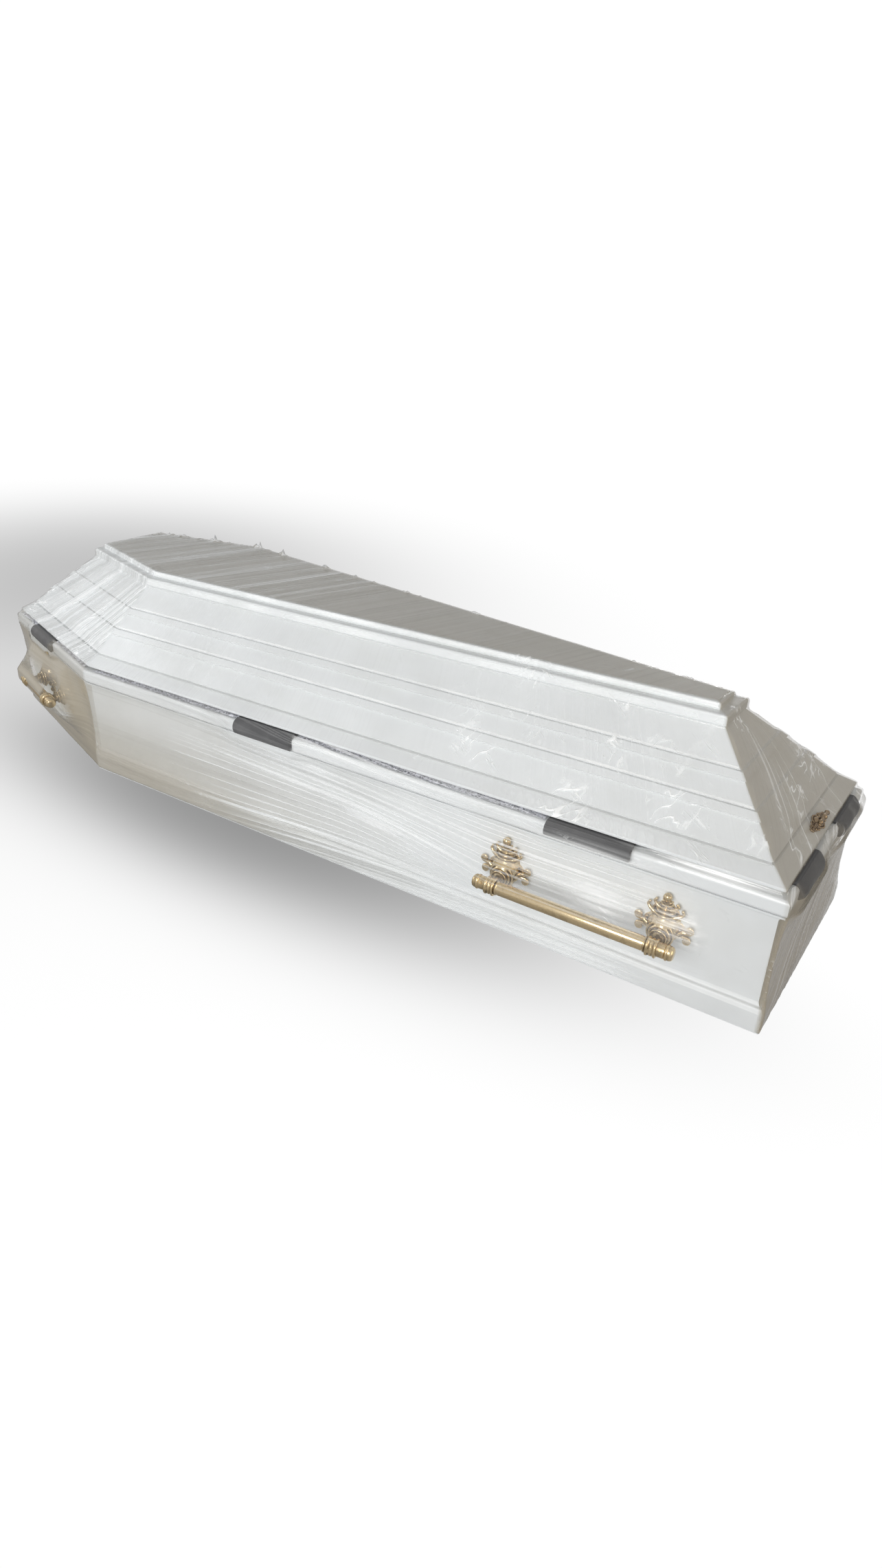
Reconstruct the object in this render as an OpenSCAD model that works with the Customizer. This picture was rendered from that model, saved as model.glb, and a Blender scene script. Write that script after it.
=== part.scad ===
// Six-sided shouldered coffin with a hipped lid, bar handles, foam edge sleeves and closing screws.
// X runs along the length with the head at -X and the foot at +X, and Z = 0 is the underside.
// The right-hand side of the person inside is at -Y.

/* [Plan] */
// Length over the rim
coffin_l = 2000; // [1600:10:2400]
// Width over the rim at the head end
head_w = 484; // [420:2:580]
// Width over the rim at the shoulders
shoulder_w = 720; // [600:5:870]
// Width over the rim at the foot end
foot_w = 422; // [350:2:510]
// Distance of the shoulders from the head end
shoulder_at = 497; // [400:5:640]

/* [Base] */
// Height of the base to the top of its rim
base_h = 245; // [200:1:420]
// Thickness of the walls
wall_t = 18; // [12:1:25]
// Thickness of the bottom board
bottom_t = 18; // [9:1:25]
// Set-back of the walls from the rim's edge
wall_back = 12; // [8:1:20]
// Height of the rim's nose
rim_h = 28; // [22:1:36]
// Rounding of the rim's edges
rim_r = 7; // [3:1:10]
// Height of the cove under the rim
rim_cove = 12; // [6:1:18]
// Height of the plinth moulding's upright face
plinth_h = 38; // [25:1:60]
// Height of the ogee on top of the plinth moulding
plinth_ogee = 12; // [6:1:18]

/* [Lid] */
// Height of the lid over all
lid_h = 182; // [130:1:260]
// Set-back of the lid's lower edge from the rim's edge
lid_back = 11; // [6:1:18]
// Height of the lid's lower rail
rail_h = 22; // [16:1:30]
// Depth of the rail's sloping top
rail_run = 27; // [20:1:36]
// Upright lip of the rail
rail_lip = 7; // [4:1:10]
// Thickness of the sloping panels
panel_t = 14; // [9:1:20]
// Shadow groove under each panel
groove = 3; // [1:0.5:5]
// Width of the ledge board at the foot end
ledge_foot_w = 96; // [70:1:130]
// Thickness of the ledge board
ledge_t = 17; // [10:1:25]
// Set-back of the top board from the ledge board's edge
top_back = 19; // [12:1:26]
// Thickness of the top board
top_t = 12; // [8:1:20]
// Rounding of the edges of the two top boards
board_r = 4; // [1:0.5:4]
// Width of the raised strips on the panels
strip_w = 17; // [8:1:24]
// How far the strips stand out
strip_out = 3.5; // [1.5:0.5:6]
// Distance of the lower strip from the panel's foot
strip_low = 56; // [30:1:70]
// Distance of the upper strip from the panel's foot
strip_high = 112; // [90:1:130]

/* [Foam sleeves] */
// Length of a sleeve on the sides
sleeve_l = 144; // [80:1:200]
// Length of a sleeve on the two ends
end_sleeve_l = 110; // [60:1:120]
// Thickness of the foam between rim and lid
foam_t = 6.4; // [3:0.1:10]
// How far a sleeve stands out beyond the rim
sleeve_out = 9; // [5:0.5:14]
// Height of a sleeve's front below the rim's top
sleeve_drop = 24; // [15:1:27]
// How far a sleeve reaches in over the rim
sleeve_in = 26; // [15:1:29]
// Clearance of the foam to rim and lid
foam_gap = 0.3; // [0.1:0.1:0.5]
// Distance of the shoulder sleeves from the head corners
shoulder_sleeve_at = 215; // [120:5:300]
// Distance of the side sleeves from the shoulder corners
side_sleeve_at = 530; // [300:5:700]
// Distance of the side sleeves from the foot corners
foot_sleeve_at = 305; // [150:5:400]
// Distance of the end sleeves from the middle of the ends
end_sleeve_at = 108; // [70:1:115]

/* [Handles] */
// Height of the handle bars
bar_z = 122; // [118:1:130]
// Distance of the bars' centre line from the wall
bar_out = 56; // [48:1:70]
// Radius of the bars
bar_r = 11.5; // [8:0.5:13]
// Length of bar outside each bracket
bar_tail = 34; // [22:1:45]
// Bracket spacing on the long sides
side_spacing = 277; // [220:1:320]
// Bracket spacing on the shoulder facets
shoulder_spacing = 146; // [120:1:200]
// Distance of the side handles from the foot corners
side_handle_at = 307; // [240:1:400]
// Clearance between a bar and its collars
bar_gap = 0.2; // [0.1:0.05:0.4]
// Radius of the bracket collars
collar_r = 15.5; // [15:0.5:18]
// Width of the bracket collars
collar_w = 18; // [12:1:24]
// Thickness of the bracket back plates
plate_t = 4; // [2:0.5:6]

/* [Closing screws] */
// Length of a closing screw's rosette
rosette_l = 70; // [50:1:90]
// Thickness of the rosette
rosette_t = 2.5; // [1.5:0.5:4]
// Height of the wing above the rosette
wing_h = 15; // [10:1:20]

/* [Hidden] */
$fn = 48;
over = 60; // extra length that the mitres cut away
SIDES = ["right_shoulder", "right_side", "foot", "left_side", "left_shoulder", "head"];
RIGHT_SHOULDER = 0;
RIGHT_SIDE = 1;
FOOT = 2;
LEFT_SIDE = 3;
LEFT_SHOULDER = 4;
HEAD = 5;

// Corners of the rim's outline, anticlockwise from the right head corner.
shoulder_x = shoulder_at - coffin_l / 2;
CORNERS = [
    [-coffin_l / 2, -head_w / 2],
    [shoulder_x, -shoulder_w / 2],
    [coffin_l / 2, -foot_w / 2],
    [coffin_l / 2, foot_w / 2],
    [shoulder_x, shoulder_w / 2],
    [-coffin_l / 2, head_w / 2]
];
function at(k) = CORNERS[(k + 6) % 6];
function side_len(i) = norm(at(i + 1) - at(i));
function along(i) = (at(i + 1) - at(i)) / side_len(i);
function inward(i) = [-along(i).y, along(i).x];
function turn(i) = atan2(along(i).y, along(i).x);
// Corner k of the outline moved in by d on all six sides.
function corner(k, d) =
    let (a = inward((k + 5) % 6), b = inward(k % 6))
    at(k) + d * (a + b) / (1 + a * b);
function outline(d) = [for (k = [0:5]) corner(k, d)];
function arc(x, y, r, from, to, steps = 6) =
    [for (n = [0:steps]) let (a = from + (to - from) * n / steps) [x + r * cos(a), y + r * sin(a)]];

// Base levels and set-backs.
wall_inner = wall_back + wall_t;
wall_top = base_h - rim_h;
cove_bottom = wall_top - rim_cove;

// Lid levels and set-backs.
lid_z = base_h + foam_t + 2 * foam_gap;
panel_z = lid_z + rail_h;
top_z = lid_z + lid_h;
board_z = top_z - top_t;
ledge_z = board_z - ledge_t;
panel_d = lid_back + rail_run;
foot_rate = corner(FOOT, 1).y - at(FOOT).y; // how fast the foot corners close in
ledge_d = (foot_w - ledge_foot_w) / 2 / foot_rate;
panel_top_d = ledge_d + groove;
pitch = atan2(ledge_z - panel_z, panel_top_d - panel_d);
panel_wide = panel_t / sin(pitch);
rail_inner = panel_d + panel_wide + 3;
// A point on a panel: a up the slope from its foot, b out from its face.
function on_slope(a, b) =
    [panel_d + a * cos(pitch) - b * sin(pitch), panel_z + a * sin(pitch) + b * cos(pitch)];
rail_pitch = atan2(rail_h - rail_lip, rail_run - 2);

// Sleeves: name, side, distance of its middle along that side from the side's own middle, length.
function from_start(i, s) = s - side_len(i) / 2;
function from_end(i, s) = side_len(i) / 2 - s;
SLEEVES = [
    ["right_shoulder", RIGHT_SHOULDER, from_start(RIGHT_SHOULDER, shoulder_sleeve_at), sleeve_l],
    ["right_side", RIGHT_SIDE, from_start(RIGHT_SIDE, side_sleeve_at), sleeve_l],
    ["right_foot_side", RIGHT_SIDE, from_end(RIGHT_SIDE, foot_sleeve_at), sleeve_l],
    ["right_foot_end", FOOT, -end_sleeve_at, end_sleeve_l],
    ["left_foot_end", FOOT, end_sleeve_at, end_sleeve_l],
    ["left_foot_side", LEFT_SIDE, from_start(LEFT_SIDE, foot_sleeve_at), sleeve_l],
    ["left_side", LEFT_SIDE, from_end(LEFT_SIDE, side_sleeve_at), sleeve_l],
    ["left_shoulder", LEFT_SHOULDER, from_end(LEFT_SHOULDER, shoulder_sleeve_at), sleeve_l],
    ["left_head_end", HEAD, -end_sleeve_at, end_sleeve_l],
    ["right_head_end", HEAD, end_sleeve_at, end_sleeve_l]
];

// Handles: name, side, distance of its middle from the side's middle, bracket spacing.
HANDLES = [
    ["right_shoulder", RIGHT_SHOULDER, 0, shoulder_spacing],
    ["right_side", RIGHT_SIDE, from_end(RIGHT_SIDE, side_handle_at), side_spacing],
    ["left_side", LEFT_SIDE, from_start(LEFT_SIDE, side_handle_at), side_spacing],
    ["left_shoulder", LEFT_SHOULDER, 0, shoulder_spacing]
];
ENDS = ["first", "second"];
SCREWS = [["foot", FOOT], ["head", HEAD]];

// Half-widths of the bracket's round body by height above the bar, and of the drop under it.
BODY = [[0, -17], [10, -16], [17, -9], [23, -1], [26.5, 8], [26, 17], [22, 26], [15.5, 35], [10, 43], [7, 52], [0, 52]];
DROP = [[0, -54], [3, -53], [6, -49], [4.5, -45], [6, -42], [9.5, -39], [9.5, -34], [6.5, -31], [7.5, -26],
    [11.5, -23], [12, -19], [8, -12], [0, -11]];
// Side scrolls of the bracket: distance from the middle, height above the bar, radius, thickness.
SCROLLS = [[18, 48, 5, 8], [27, 39, 5.5, 8], [40, 13, 8, 9], [38, -7, 8, 9]];

// Frame of side i: origin in its middle at the rim's edge, X along it, Y inward.
module on_side(i, x = 0) {
    middle = (at(i) + at(i + 1)) / 2;
    translate([middle.x, middle.y, 0])
        rotate([0, 0, turn(i)])
            translate([x, 0, 0])
                children();
}

// Runs a profile, drawn as set-back and height, along side i.
module run(i, length, x = 0) {
    on_side(i, x)
        rotate([90, 0, 90])
            translate([0, 0, -length / 2])
                linear_extrude(height = length)
                    children();
}

// One of the six mitred members of a ring, from the rim's edge in to the given set-back.
module member(i, deep) {
    intersection() {
        translate([0, 0, -1])
            linear_extrude(height = top_z + 2)
                polygon([corner(i, -2), corner(i + 1, -2), corner(i + 1, deep + 1), corner(i, deep + 1)]);
        run(i, side_len(i) + over)
            children();
    }
}

module wall(i) {
    color("whitesmoke")
        member(i, wall_inner)
            translate([wall_back, 0])
                square([wall_t, wall_top]);
}

module plinth(i) {
    steps = 8;
    ogee = [for (n = [0:steps]) let (t = n / steps)
        [1 + (wall_back - 1) * t, plinth_h + plinth_ogee * (t + sin(360 * t) / 2 / PI)]];
    color("whitesmoke")
        member(i, wall_back)
            polygon(concat([[wall_back, 0], [0, 0], [0, plinth_h - 2]], ogee));
}

module rim(i) {
    color("whitesmoke")
        member(i, wall_inner) {
            union() {
                rounded_nose(wall_inner, wall_top, base_h, rim_r);
                difference() {
                    translate([2, cove_bottom])
                        square([wall_back - 2, rim_cove]);
                    translate([2, cove_bottom])
                        circle(r = wall_back - 3);
                }
            }
        }
}

// A strip from the rim's edge inward, with its two outer corners rounded.
module rounded_nose(deep, low, high, r) {
    translate([r, low])
        square([deep - r, high - low]);
    translate([0, low + r])
        square([r, high - low - 2 * r]);
    for (z = [low + r, high - r])
        translate([r, z])
            circle(r = r);
}

module lid_rail(i) {
    color("whitesmoke")
        member(i, rail_inner)
            polygon(concat(
                [[rail_inner, lid_z], [lid_back + 2, lid_z]],
                [[lid_back, lid_z + 2], [lid_back, lid_z + rail_lip - 2]],
                arc(lid_back + 2, lid_z + rail_lip - 2, 2, 180, 90, 3),
                [[panel_d, panel_z], [rail_inner, panel_z]]
            ));
}

module lid_panel(i) {
    color("whitesmoke")
        member(i, panel_top_d + panel_wide)
            union() {
                polygon([
                    [panel_d + 2 * groove, panel_z],
                    [panel_d + 2 * groove, panel_z + groove],
                    [panel_d + groove / tan(pitch), panel_z + groove],
                    [panel_top_d, ledge_z],
                    [panel_top_d + panel_wide, ledge_z],
                    [panel_d + panel_wide, panel_z]
                ]);
                for (a = [strip_low, strip_high])
                    strip(a);
            }
}

// A raised strip across a panel, square at its lower edge and bevelled at its upper edge.
module strip(a) {
    polygon([
        on_slope(a, -1),
        on_slope(a, strip_out),
        on_slope(a + strip_w - strip_out, strip_out),
        on_slope(a + strip_w, 0),
        on_slope(a + strip_w, -1)
    ]);
}

// A six-sided board with rounded upper edges, set back by d, from z up.
module edged_board(d, z, t) {
    top = z + t;
    difference() {
        translate([0, 0, z])
            linear_extrude(height = t)
                polygon(outline(d));
        for (i = [0:5])
            run(i, side_len(i))
                polygon(concat(
                    [[d - 1, top + 1], [d + board_r, top + 1]],
                    arc(d + board_r, top - board_r, board_r, 90, 180),
                    [[d - 1, top - board_r]]
                ));
    }
}

module lid_ledge_board() {
    color("whitesmoke")
        edged_board(ledge_d, ledge_z, ledge_t);
}

module lid_top_board() {
    color("whitesmoke")
        edged_board(ledge_d + top_back, board_z, top_t);
}

module bottom_board() {
    color("gainsboro")
        linear_extrude(height = bottom_t)
            polygon(outline(wall_inner));
}

// A length of slit foam tube that hooks over the rim, under the lid.
module foam_sleeve(s) {
    high = lid_z - foam_gap;
    low = base_h - sleeve_drop;
    r = min(13, sleeve_out + rim_r - 1);
    color("dimgray")
        run(s[1], s[3], s[2])
            difference() {
                union() {
                    translate([r - sleeve_out, low])
                        square([sleeve_in + sleeve_out - r, high - low]);
                    translate([-sleeve_out, low + 4])
                        square([r, high - low - r - 4]);
                    translate([4 - sleeve_out, low])
                        square([r - 4, 5]);
                    translate([4 - sleeve_out, low + 4])
                        circle(r = 4);
                    translate([r - sleeve_out, high - r])
                        circle(r = r);
                }
                translate([-foam_gap, low - rim_h])
                    rounded_nose(sleeve_in + 5, 0, sleeve_drop + rim_h + foam_gap, rim_r);
            }
}

// Frame of a handle: X along the wall, Y up from the bar's height, Z out from the wall.
module on_wall(i, x) {
    on_side(i, x)
        translate([0, wall_back, bar_z])
            rotate([90, 0, 0])
                children();
}

module handle_bar(h) {
    length = h[3] + 2 * bar_tail;
    color("darkkhaki")
        on_wall(h[1], h[2])
            translate([-length / 2, 0, bar_out])
                rotate([0, 90, 0])
                    rotate_extrude()
                        polygon(concat(
                            bar_end(0, -1),
                            bar_end(length, 1)
                        ));
}

// Half outline of a bar's end, with a bead and a rounded tip. way is 1 at the far end.
function bar_end(z, way) =
    let (
        tip = arc(bar_r - 5, z - way * 5, 5, 0, way * 90, 4),
        bead = [[bar_r, z - way * 14], [bar_r + 1.2, z - way * 13], [bar_r + 1.2, z - way * 11], [bar_r, z - way * 10]],
        half = concat(bead, tip, [[0, z]])
    )
    way > 0 ? half : [for (n = [len(half) - 1:-1:0]) half[n]];

module bracket(h, end) {
    way = end == 0 ? -1 : 1;
    color("darkkhaki")
        on_wall(h[1], h[2] + way * h[3] / 2)
            difference() {
                union() {
                    intersection() {
                        bracket_relief();
                        translate([-80, -80, 0])
                            cube([160, 160, bar_out]);
                    }
                    neck();
                    collar();
                }
                translate([-collar_w, 0, bar_out])
                    rotate([0, 90, 0])
                        cylinder(r = bar_r + bar_gap, h = 2 * collar_w);
            }
}

// Cast front of a bracket: pear-shaped body, ball, drop, back plate and side scrolls.
module bracket_relief() {
    rotate([-90, 0, 0]) rotate([0, 0, 90]) {
        rotate_extrude()
            polygon(BODY);
        rotate_extrude()
            polygon(DROP);
        for (y = [22, 29])
            translate([0, 0, y])
                rotate_extrude()
                    translate([y == 22 ? 23.5 : 19.5, 0])
                        circle(r = 2);
    }
    translate([0, 61, 6])
        sphere(r = 7.5);
    translate([0, 45, 5])
        rotate([-90, 0, 0])
            cylinder(r = 4.5, h = 12);
    linear_extrude(height = plate_t)
        polygon([
            [-7, 58], [-12, 46], [-24, 36], [-30, 16], [-34, -2], [-24, -12], [-12, -18], [-8, -44],
            [8, -44], [12, -18], [24, -12], [34, -2], [30, 16], [24, 36], [12, 46], [7, 58]
        ]);
    for (s = SCROLLS, way = [-1, 1])
        translate([way * s[0], s[1], 0]) {
            cylinder(r = s[2], h = s[3] - 3);
            cylinder(r = s[2] - 3, h = s[3]);
            translate([-way * s[2], -2, 0])
                rotate([0, 0, way * 20])
                    translate([-5, 0, 0])
                        cube([10, 4, plate_t - 1]);
        }
}

// Round neck from the body out to the bar, with two beads at its root.
module neck() {
    rotate_extrude()
        polygon([
            [0, 12], [19, 12], [19, 21], [16, 24], [17, 26], [14, 29], [15, 31], [12, 33],
            [9, 37], [8.5, bar_out - 12], [10, bar_out], [0, bar_out]
        ]);
}

module collar() {
    translate([0, 0, bar_out])
        rotate([0, 90, 0]) {
            for (z = [-collar_w / 2, collar_w / 2 - 7])
                translate([0, 0, z])
                    cylinder(r = collar_r, h = 7);
            cylinder(r = collar_r - 1.5, h = collar_w - 2, center = true);
        }
}

// Wing-headed screw on a leafed rosette, in the middle of the lid rail at one end.
module closing_screw(s) {
    color("sienna")
        on_side(s[1])
            translate([0, (lid_back + 2 + panel_d) / 2, lid_z + (rail_lip + rail_h) / 2])
                rotate([rail_pitch, 0, 0])
                    union() {
                        linear_extrude(height = rosette_t)
                            rosette();
                        rotate_extrude()
                            polygon(concat([[0, 0], [10.5, 0]], arc(4.5, 1, 6, 0, 90), [[0, 7]]));
                        cylinder(r = 3.5, h = wing_h);
                        translate([-17, 0, wing_h])
                            rotate([0, 90, 0])
                                cylinder(r = 3.4, h = 34);
                        for (x = [-18, 0, 18])
                            translate([x, 0, wing_h])
                                sphere(r = x == 0 ? 5 : 4.6);
                    }
}

// Lobed outline, widest in the middle.
module rosette() {
    circle(r = 12.5);
    for (way = [-1, 1]) {
        translate([way * 14, 0])
            circle(r = 9.5);
        translate([way * 23, 0])
            circle(r = 7);
        translate([way * (rosette_l / 2 - 5), 0])
            circle(r = 5);
    }
}

bottom_board();
for (i = [0:5]) {
    wall(i);
    plinth(i);
    rim(i);
    lid_rail(i);
    lid_panel(i);
}
lid_ledge_board();
lid_top_board();
for (s = SLEEVES)
    foam_sleeve(s);
for (h = HANDLES) {
    handle_bar(h);
    for (e = [0, 1])
        bracket(h, e);
}
for (s = SCREWS)
    closing_screw(s);
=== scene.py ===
import math

import bmesh
import bpy
import numpy as np
from mathutils import Matrix, Vector, noise


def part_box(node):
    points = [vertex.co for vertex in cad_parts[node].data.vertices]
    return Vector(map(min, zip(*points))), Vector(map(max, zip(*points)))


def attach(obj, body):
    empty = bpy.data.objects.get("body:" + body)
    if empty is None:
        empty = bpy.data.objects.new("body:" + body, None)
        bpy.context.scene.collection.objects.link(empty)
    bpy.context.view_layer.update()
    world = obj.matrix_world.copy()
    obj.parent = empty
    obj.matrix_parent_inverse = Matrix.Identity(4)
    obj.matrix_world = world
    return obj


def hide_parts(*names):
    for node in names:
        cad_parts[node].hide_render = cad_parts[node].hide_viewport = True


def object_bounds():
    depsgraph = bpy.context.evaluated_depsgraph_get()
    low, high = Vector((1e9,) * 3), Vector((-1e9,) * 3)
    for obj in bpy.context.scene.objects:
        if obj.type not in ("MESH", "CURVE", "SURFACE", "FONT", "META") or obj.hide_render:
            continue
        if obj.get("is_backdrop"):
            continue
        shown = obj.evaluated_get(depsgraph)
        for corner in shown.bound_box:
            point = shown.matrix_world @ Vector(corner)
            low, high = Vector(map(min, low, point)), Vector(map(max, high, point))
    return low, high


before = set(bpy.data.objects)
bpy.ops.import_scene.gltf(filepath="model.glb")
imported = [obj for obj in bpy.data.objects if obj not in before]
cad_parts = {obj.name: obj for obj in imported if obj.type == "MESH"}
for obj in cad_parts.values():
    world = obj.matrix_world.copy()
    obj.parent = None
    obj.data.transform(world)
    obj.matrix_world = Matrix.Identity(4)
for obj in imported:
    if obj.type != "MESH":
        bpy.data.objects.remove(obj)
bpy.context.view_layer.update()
scene = bpy.context.scene
mm = 0.001
print("frame loaded:", len(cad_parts), "CAD pieces")

# ---- plan of the coffin, read from its rim: corners anticlockwise from the right head corner
sideNames = ["right_shoulder", "right_side", "foot", "left_side", "left_shoulder", "head"]
rightShoulder, rightSide, footEnd, leftSide, leftShoulder, headEnd = range(6)
headRim, footRim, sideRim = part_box("head_rim"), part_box("foot_rim"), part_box("right_side_rim")
rightCorners = [
    Vector((headRim[0].x, headRim[0].y)),
    Vector((sideRim[0].x, sideRim[0].y)),
    Vector((footRim[1].x, footRim[0].y)),
]
corners = rightCorners + [Vector((c.x, -c.y)) for c in reversed(rightCorners)]


def sideAxes(side):
    start, end = corners[side % 6], corners[(side + 1) % 6]
    along = (end - start).normalized()
    return along, Vector((-along.y, along.x)), (end - start).length


def sideMiddle(side):
    return corners[side].lerp(corners[(side + 1) % 6], 0.5)


def insetCorner(k, setBack):
    before, after = sideAxes(k + 5)[1], sideAxes(k)[1]
    return corners[k % 6] + (before + after) * (setBack / (1 + before.dot(after)))


def onRing(side, share, setBack, height):
    spot = insetCorner(side, setBack).lerp(insetCorner(side + 1, setBack), share)
    return Vector((spot.x, spot.y, height))


def sideFrame(side, x=0.0, setBack=0.0, height=0.0, lean=0.0):
    # X along the side, Y up it and Z straight out, leaning back by an angle
    along, inward, _ = sideAxes(side)
    middle = sideMiddle(side) + along * x + inward * setBack
    out = Vector((-inward.x, -inward.y, 0))
    axes = Matrix(((along.x, 0, out.x), (along.y, 0, out.y), (0, 1, 0))).to_4x4()
    return Matrix.Translation((middle.x, middle.y, height)) @ axes @ Matrix.Rotation(-lean, 4, "X")


def rimFrame(side, x=0.0, height=0.0):
    # X along the side, Y inward from the rim's face and Z up
    along, inward, _ = sideAxes(side)
    middle = sideMiddle(side) + along * x
    rows = ((along.x, inward.x, 0, middle.x), (along.y, inward.y, 0, middle.y), (0, 0, 1, height), (0, 0, 0, 1))
    return Matrix(rows)


def alongSide(node, side):
    # where a CAD piece starts and ends along its side, from the side's middle
    along = sideAxes(side)[0]
    reach = [v.co.dot(along.to_3d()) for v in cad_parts[node].data.vertices]
    middle = sideMiddle(side).dot(along)
    return min(reach) - middle, max(reach) - middle


# ---- node helpers
def feed(tree, socket, value):
    if isinstance(value, bpy.types.NodeSocket):
        tree.links.new(value, socket)
    else:
        socket.default_value = value


def newNode(tree, kind, inputs, **settings):
    node = tree.nodes.new("ShaderNode" + kind)
    for label, value in settings.items():
        setattr(node, label, value)
    for socket, value in inputs.items():
        feed(tree, node.inputs[socket], value)
    return node


def mathNode(tree, operation, a, b=0.0, clamp=False):
    return newNode(tree, "Math", {0: a, 1: b}, operation=operation, use_clamp=clamp).outputs[0]


def times(tree, a, b, clamp=False):
    return mathNode(tree, "MULTIPLY", a, b, clamp)


def plus(tree, a, b, clamp=False):
    return mathNode(tree, "ADD", a, b, clamp)


def minus(tree, a, b, clamp=False):
    return mathNode(tree, "SUBTRACT", a, b, clamp)


def larger(tree, a, b):
    return mathNode(tree, "MAXIMUM", a, b)


def rangeNode(tree, value, low, high, toLow=0.0, toHigh=1.0):
    inputs = dict(enumerate((value, low, high, toLow, toHigh)))
    return newNode(tree, "MapRange", inputs, interpolation_type="SMOOTHSTEP").outputs[0]


def mappedNode(tree, vector, scale=(1, 1, 1), turn=(0, 0, 0), shift=(0, 0, 0)):
    inputs = {"Vector": vector, "Scale": scale, "Rotation": turn, "Location": shift}
    return newNode(tree, "Mapping", inputs).outputs[0]


def noiseNode(tree, vector, scale, detail=3.0, roughness=0.55):
    inputs = {"Vector": vector, "Scale": scale, "Detail": detail, "Roughness": roughness}
    return newNode(tree, "TexNoise", inputs).outputs[0]


def colourNode(tree, factor, a, b, blend="MIX"):
    return newNode(tree, "Mix", {0: factor, 6: a, 7: b}, data_type="RGBA", blend_type=blend).outputs[2]


def bumpNode(tree, height, strength=0.3, distance=0.001):
    return newNode(tree, "Bump", {"Height": height, "Strength": strength, "Distance": distance}).outputs[0]


def attributeNode(tree, name):
    return newNode(tree, "Attribute", {}, attribute_name=name).outputs["Fac"]


def ownCoordinates(tree, uvMap):
    return newNode(tree, "UVMap", {}, uv_map=uvMap).outputs[0]


def newGroup(name, inputs, outputs):
    group = bpy.data.node_groups.new(name, "ShaderNodeTree")
    for label, kind, value in inputs:
        socket = group.interface.new_socket(name=label, in_out="INPUT", socket_type="NodeSocket" + kind)
        if value is not None:
            socket.default_value = value
    for label, kind in outputs:
        group.interface.new_socket(name=label, in_out="OUTPUT", socket_type="NodeSocket" + kind)
    ends = [group.nodes.new("NodeGroup" + end) for end in ("Input", "Output")]
    return group, ends[0].outputs, ends[1].inputs


def placeGroup(tree, group, **values):
    node = newNode(tree, "Group", {}, node_tree=group)
    for label, value in values.items():
        feed(tree, node.inputs[label], value)
    return node.outputs


def newMaterial(name, **values):
    material = bpy.data.materials.new(name)
    material.use_nodes = True
    tree = material.node_tree
    shader = tree.nodes["Principled BSDF"].inputs
    for label, value in values.items():
        shader[label.replace("_", " ")].default_value = value
    return material, tree, shader


def objectCoordinates(tree):
    return tree.nodes.new("ShaderNodeTexCoord").outputs["Object"]


# ---- shared effects
def makeCreases():
    # long thin lines that run along U, broken up by a slower pattern
    group, inputs, outputs = newGroup(
        "creases",
        [
            ("Vector", "Vector", None),
            ("Stretch", "Vector", (1, 40, 1)),
            ("Width", "Float", 0.1),
            ("Gaps", "Float", 0.5),
        ],
        [("Mask", "Float"), ("Height", "Float")],
    )
    both = {0: inputs["Vector"], 1: inputs["Stretch"]}
    stretched = newNode(group, "VectorMath", both, operation="MULTIPLY").outputs[0]
    base = noiseNode(group, stretched, 1.0, 1.0, 0.4)
    ridge = mathNode(group, "ABSOLUTE", times(group, minus(group, base, 0.5), 4.0))
    line = rangeNode(group, ridge, inputs["Width"], 0.0)
    slow = noiseNode(group, mappedNode(group, stretched, (0.35, 0.2, 0.3), shift=(7, 3, 1)), 1.0, 2.0)
    broken = rangeNode(group, slow, inputs["Gaps"], plus(group, inputs["Gaps"], 0.16))
    feed(group, outputs["Mask"], times(group, line, broken))
    feed(group, outputs["Height"], minus(group, 1.0, ridge, True))
    return group


def makeMottle():
    # slow unevenness of a finish: a tone about 1 and a fine orange-peel height
    group, inputs, outputs = newGroup(
        "mottle",
        [
            ("Vector", "Vector", None),
            ("Scale", "Float", 5.0),
            ("Amount", "Float", 0.05),
            ("Fine", "Float", 700.0),
        ],
        [("Tone", "Float"), ("Smudge", "Float"), ("Height", "Float")],
    )
    slow = noiseNode(group, inputs["Vector"], inputs["Scale"], 4.0, 0.6)
    centred = times(group, minus(group, slow, 0.5), inputs["Amount"])
    feed(group, outputs["Tone"], plus(group, 1.0, centred))
    smudge = noiseNode(group, mappedNode(group, inputs["Vector"], (3, 9, 5), (0.3, 0.2, 0.5)), 2.0, 5.0, 0.65)
    feed(group, outputs["Smudge"], rangeNode(group, smudge, 0.42, 0.68))
    feed(group, outputs["Height"], noiseNode(group, inputs["Vector"], inputs["Fine"], 1.0, 0.4))
    return group


def makeTarnish():
    # cast metal: bright where it is handled, brown in its hollows
    group, inputs, outputs = newGroup(
        "tarnish",
        [
            ("Vector", "Vector", None),
            ("Cavity", "Float", 0.0),
            ("Bright", "Color", (1, 1, 1, 1)),
            ("Dull", "Color", (0.3, 0.2, 0.1, 1)),
            ("Depth", "Float", 1.0),
        ],
        [("Colour", "Color"), ("Roughness", "Float"), ("Height", "Float")],
    )
    spots = noiseNode(group, inputs["Vector"], 260.0, 4.0, 0.6)
    hollow = times(group, inputs["Cavity"], inputs["Depth"])
    patchy = rangeNode(group, noiseNode(group, inputs["Vector"], 55.0, 3.0), 0.5, 0.75, 0.0, 0.35)
    worn = plus(group, hollow, times(group, minus(group, spots, 0.45), 0.5))
    brown = plus(group, worn, patchy, True)
    feed(group, outputs["Colour"], colourNode(group, brown, inputs["Bright"], inputs["Dull"]))
    feed(group, outputs["Roughness"], rangeNode(group, brown, 0.0, 1.0, 0.2, 0.5))
    feed(group, outputs["Height"], spots)
    return group


creases, mottle, tarnish = makeCreases(), makeMottle(), makeTarnish()


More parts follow.
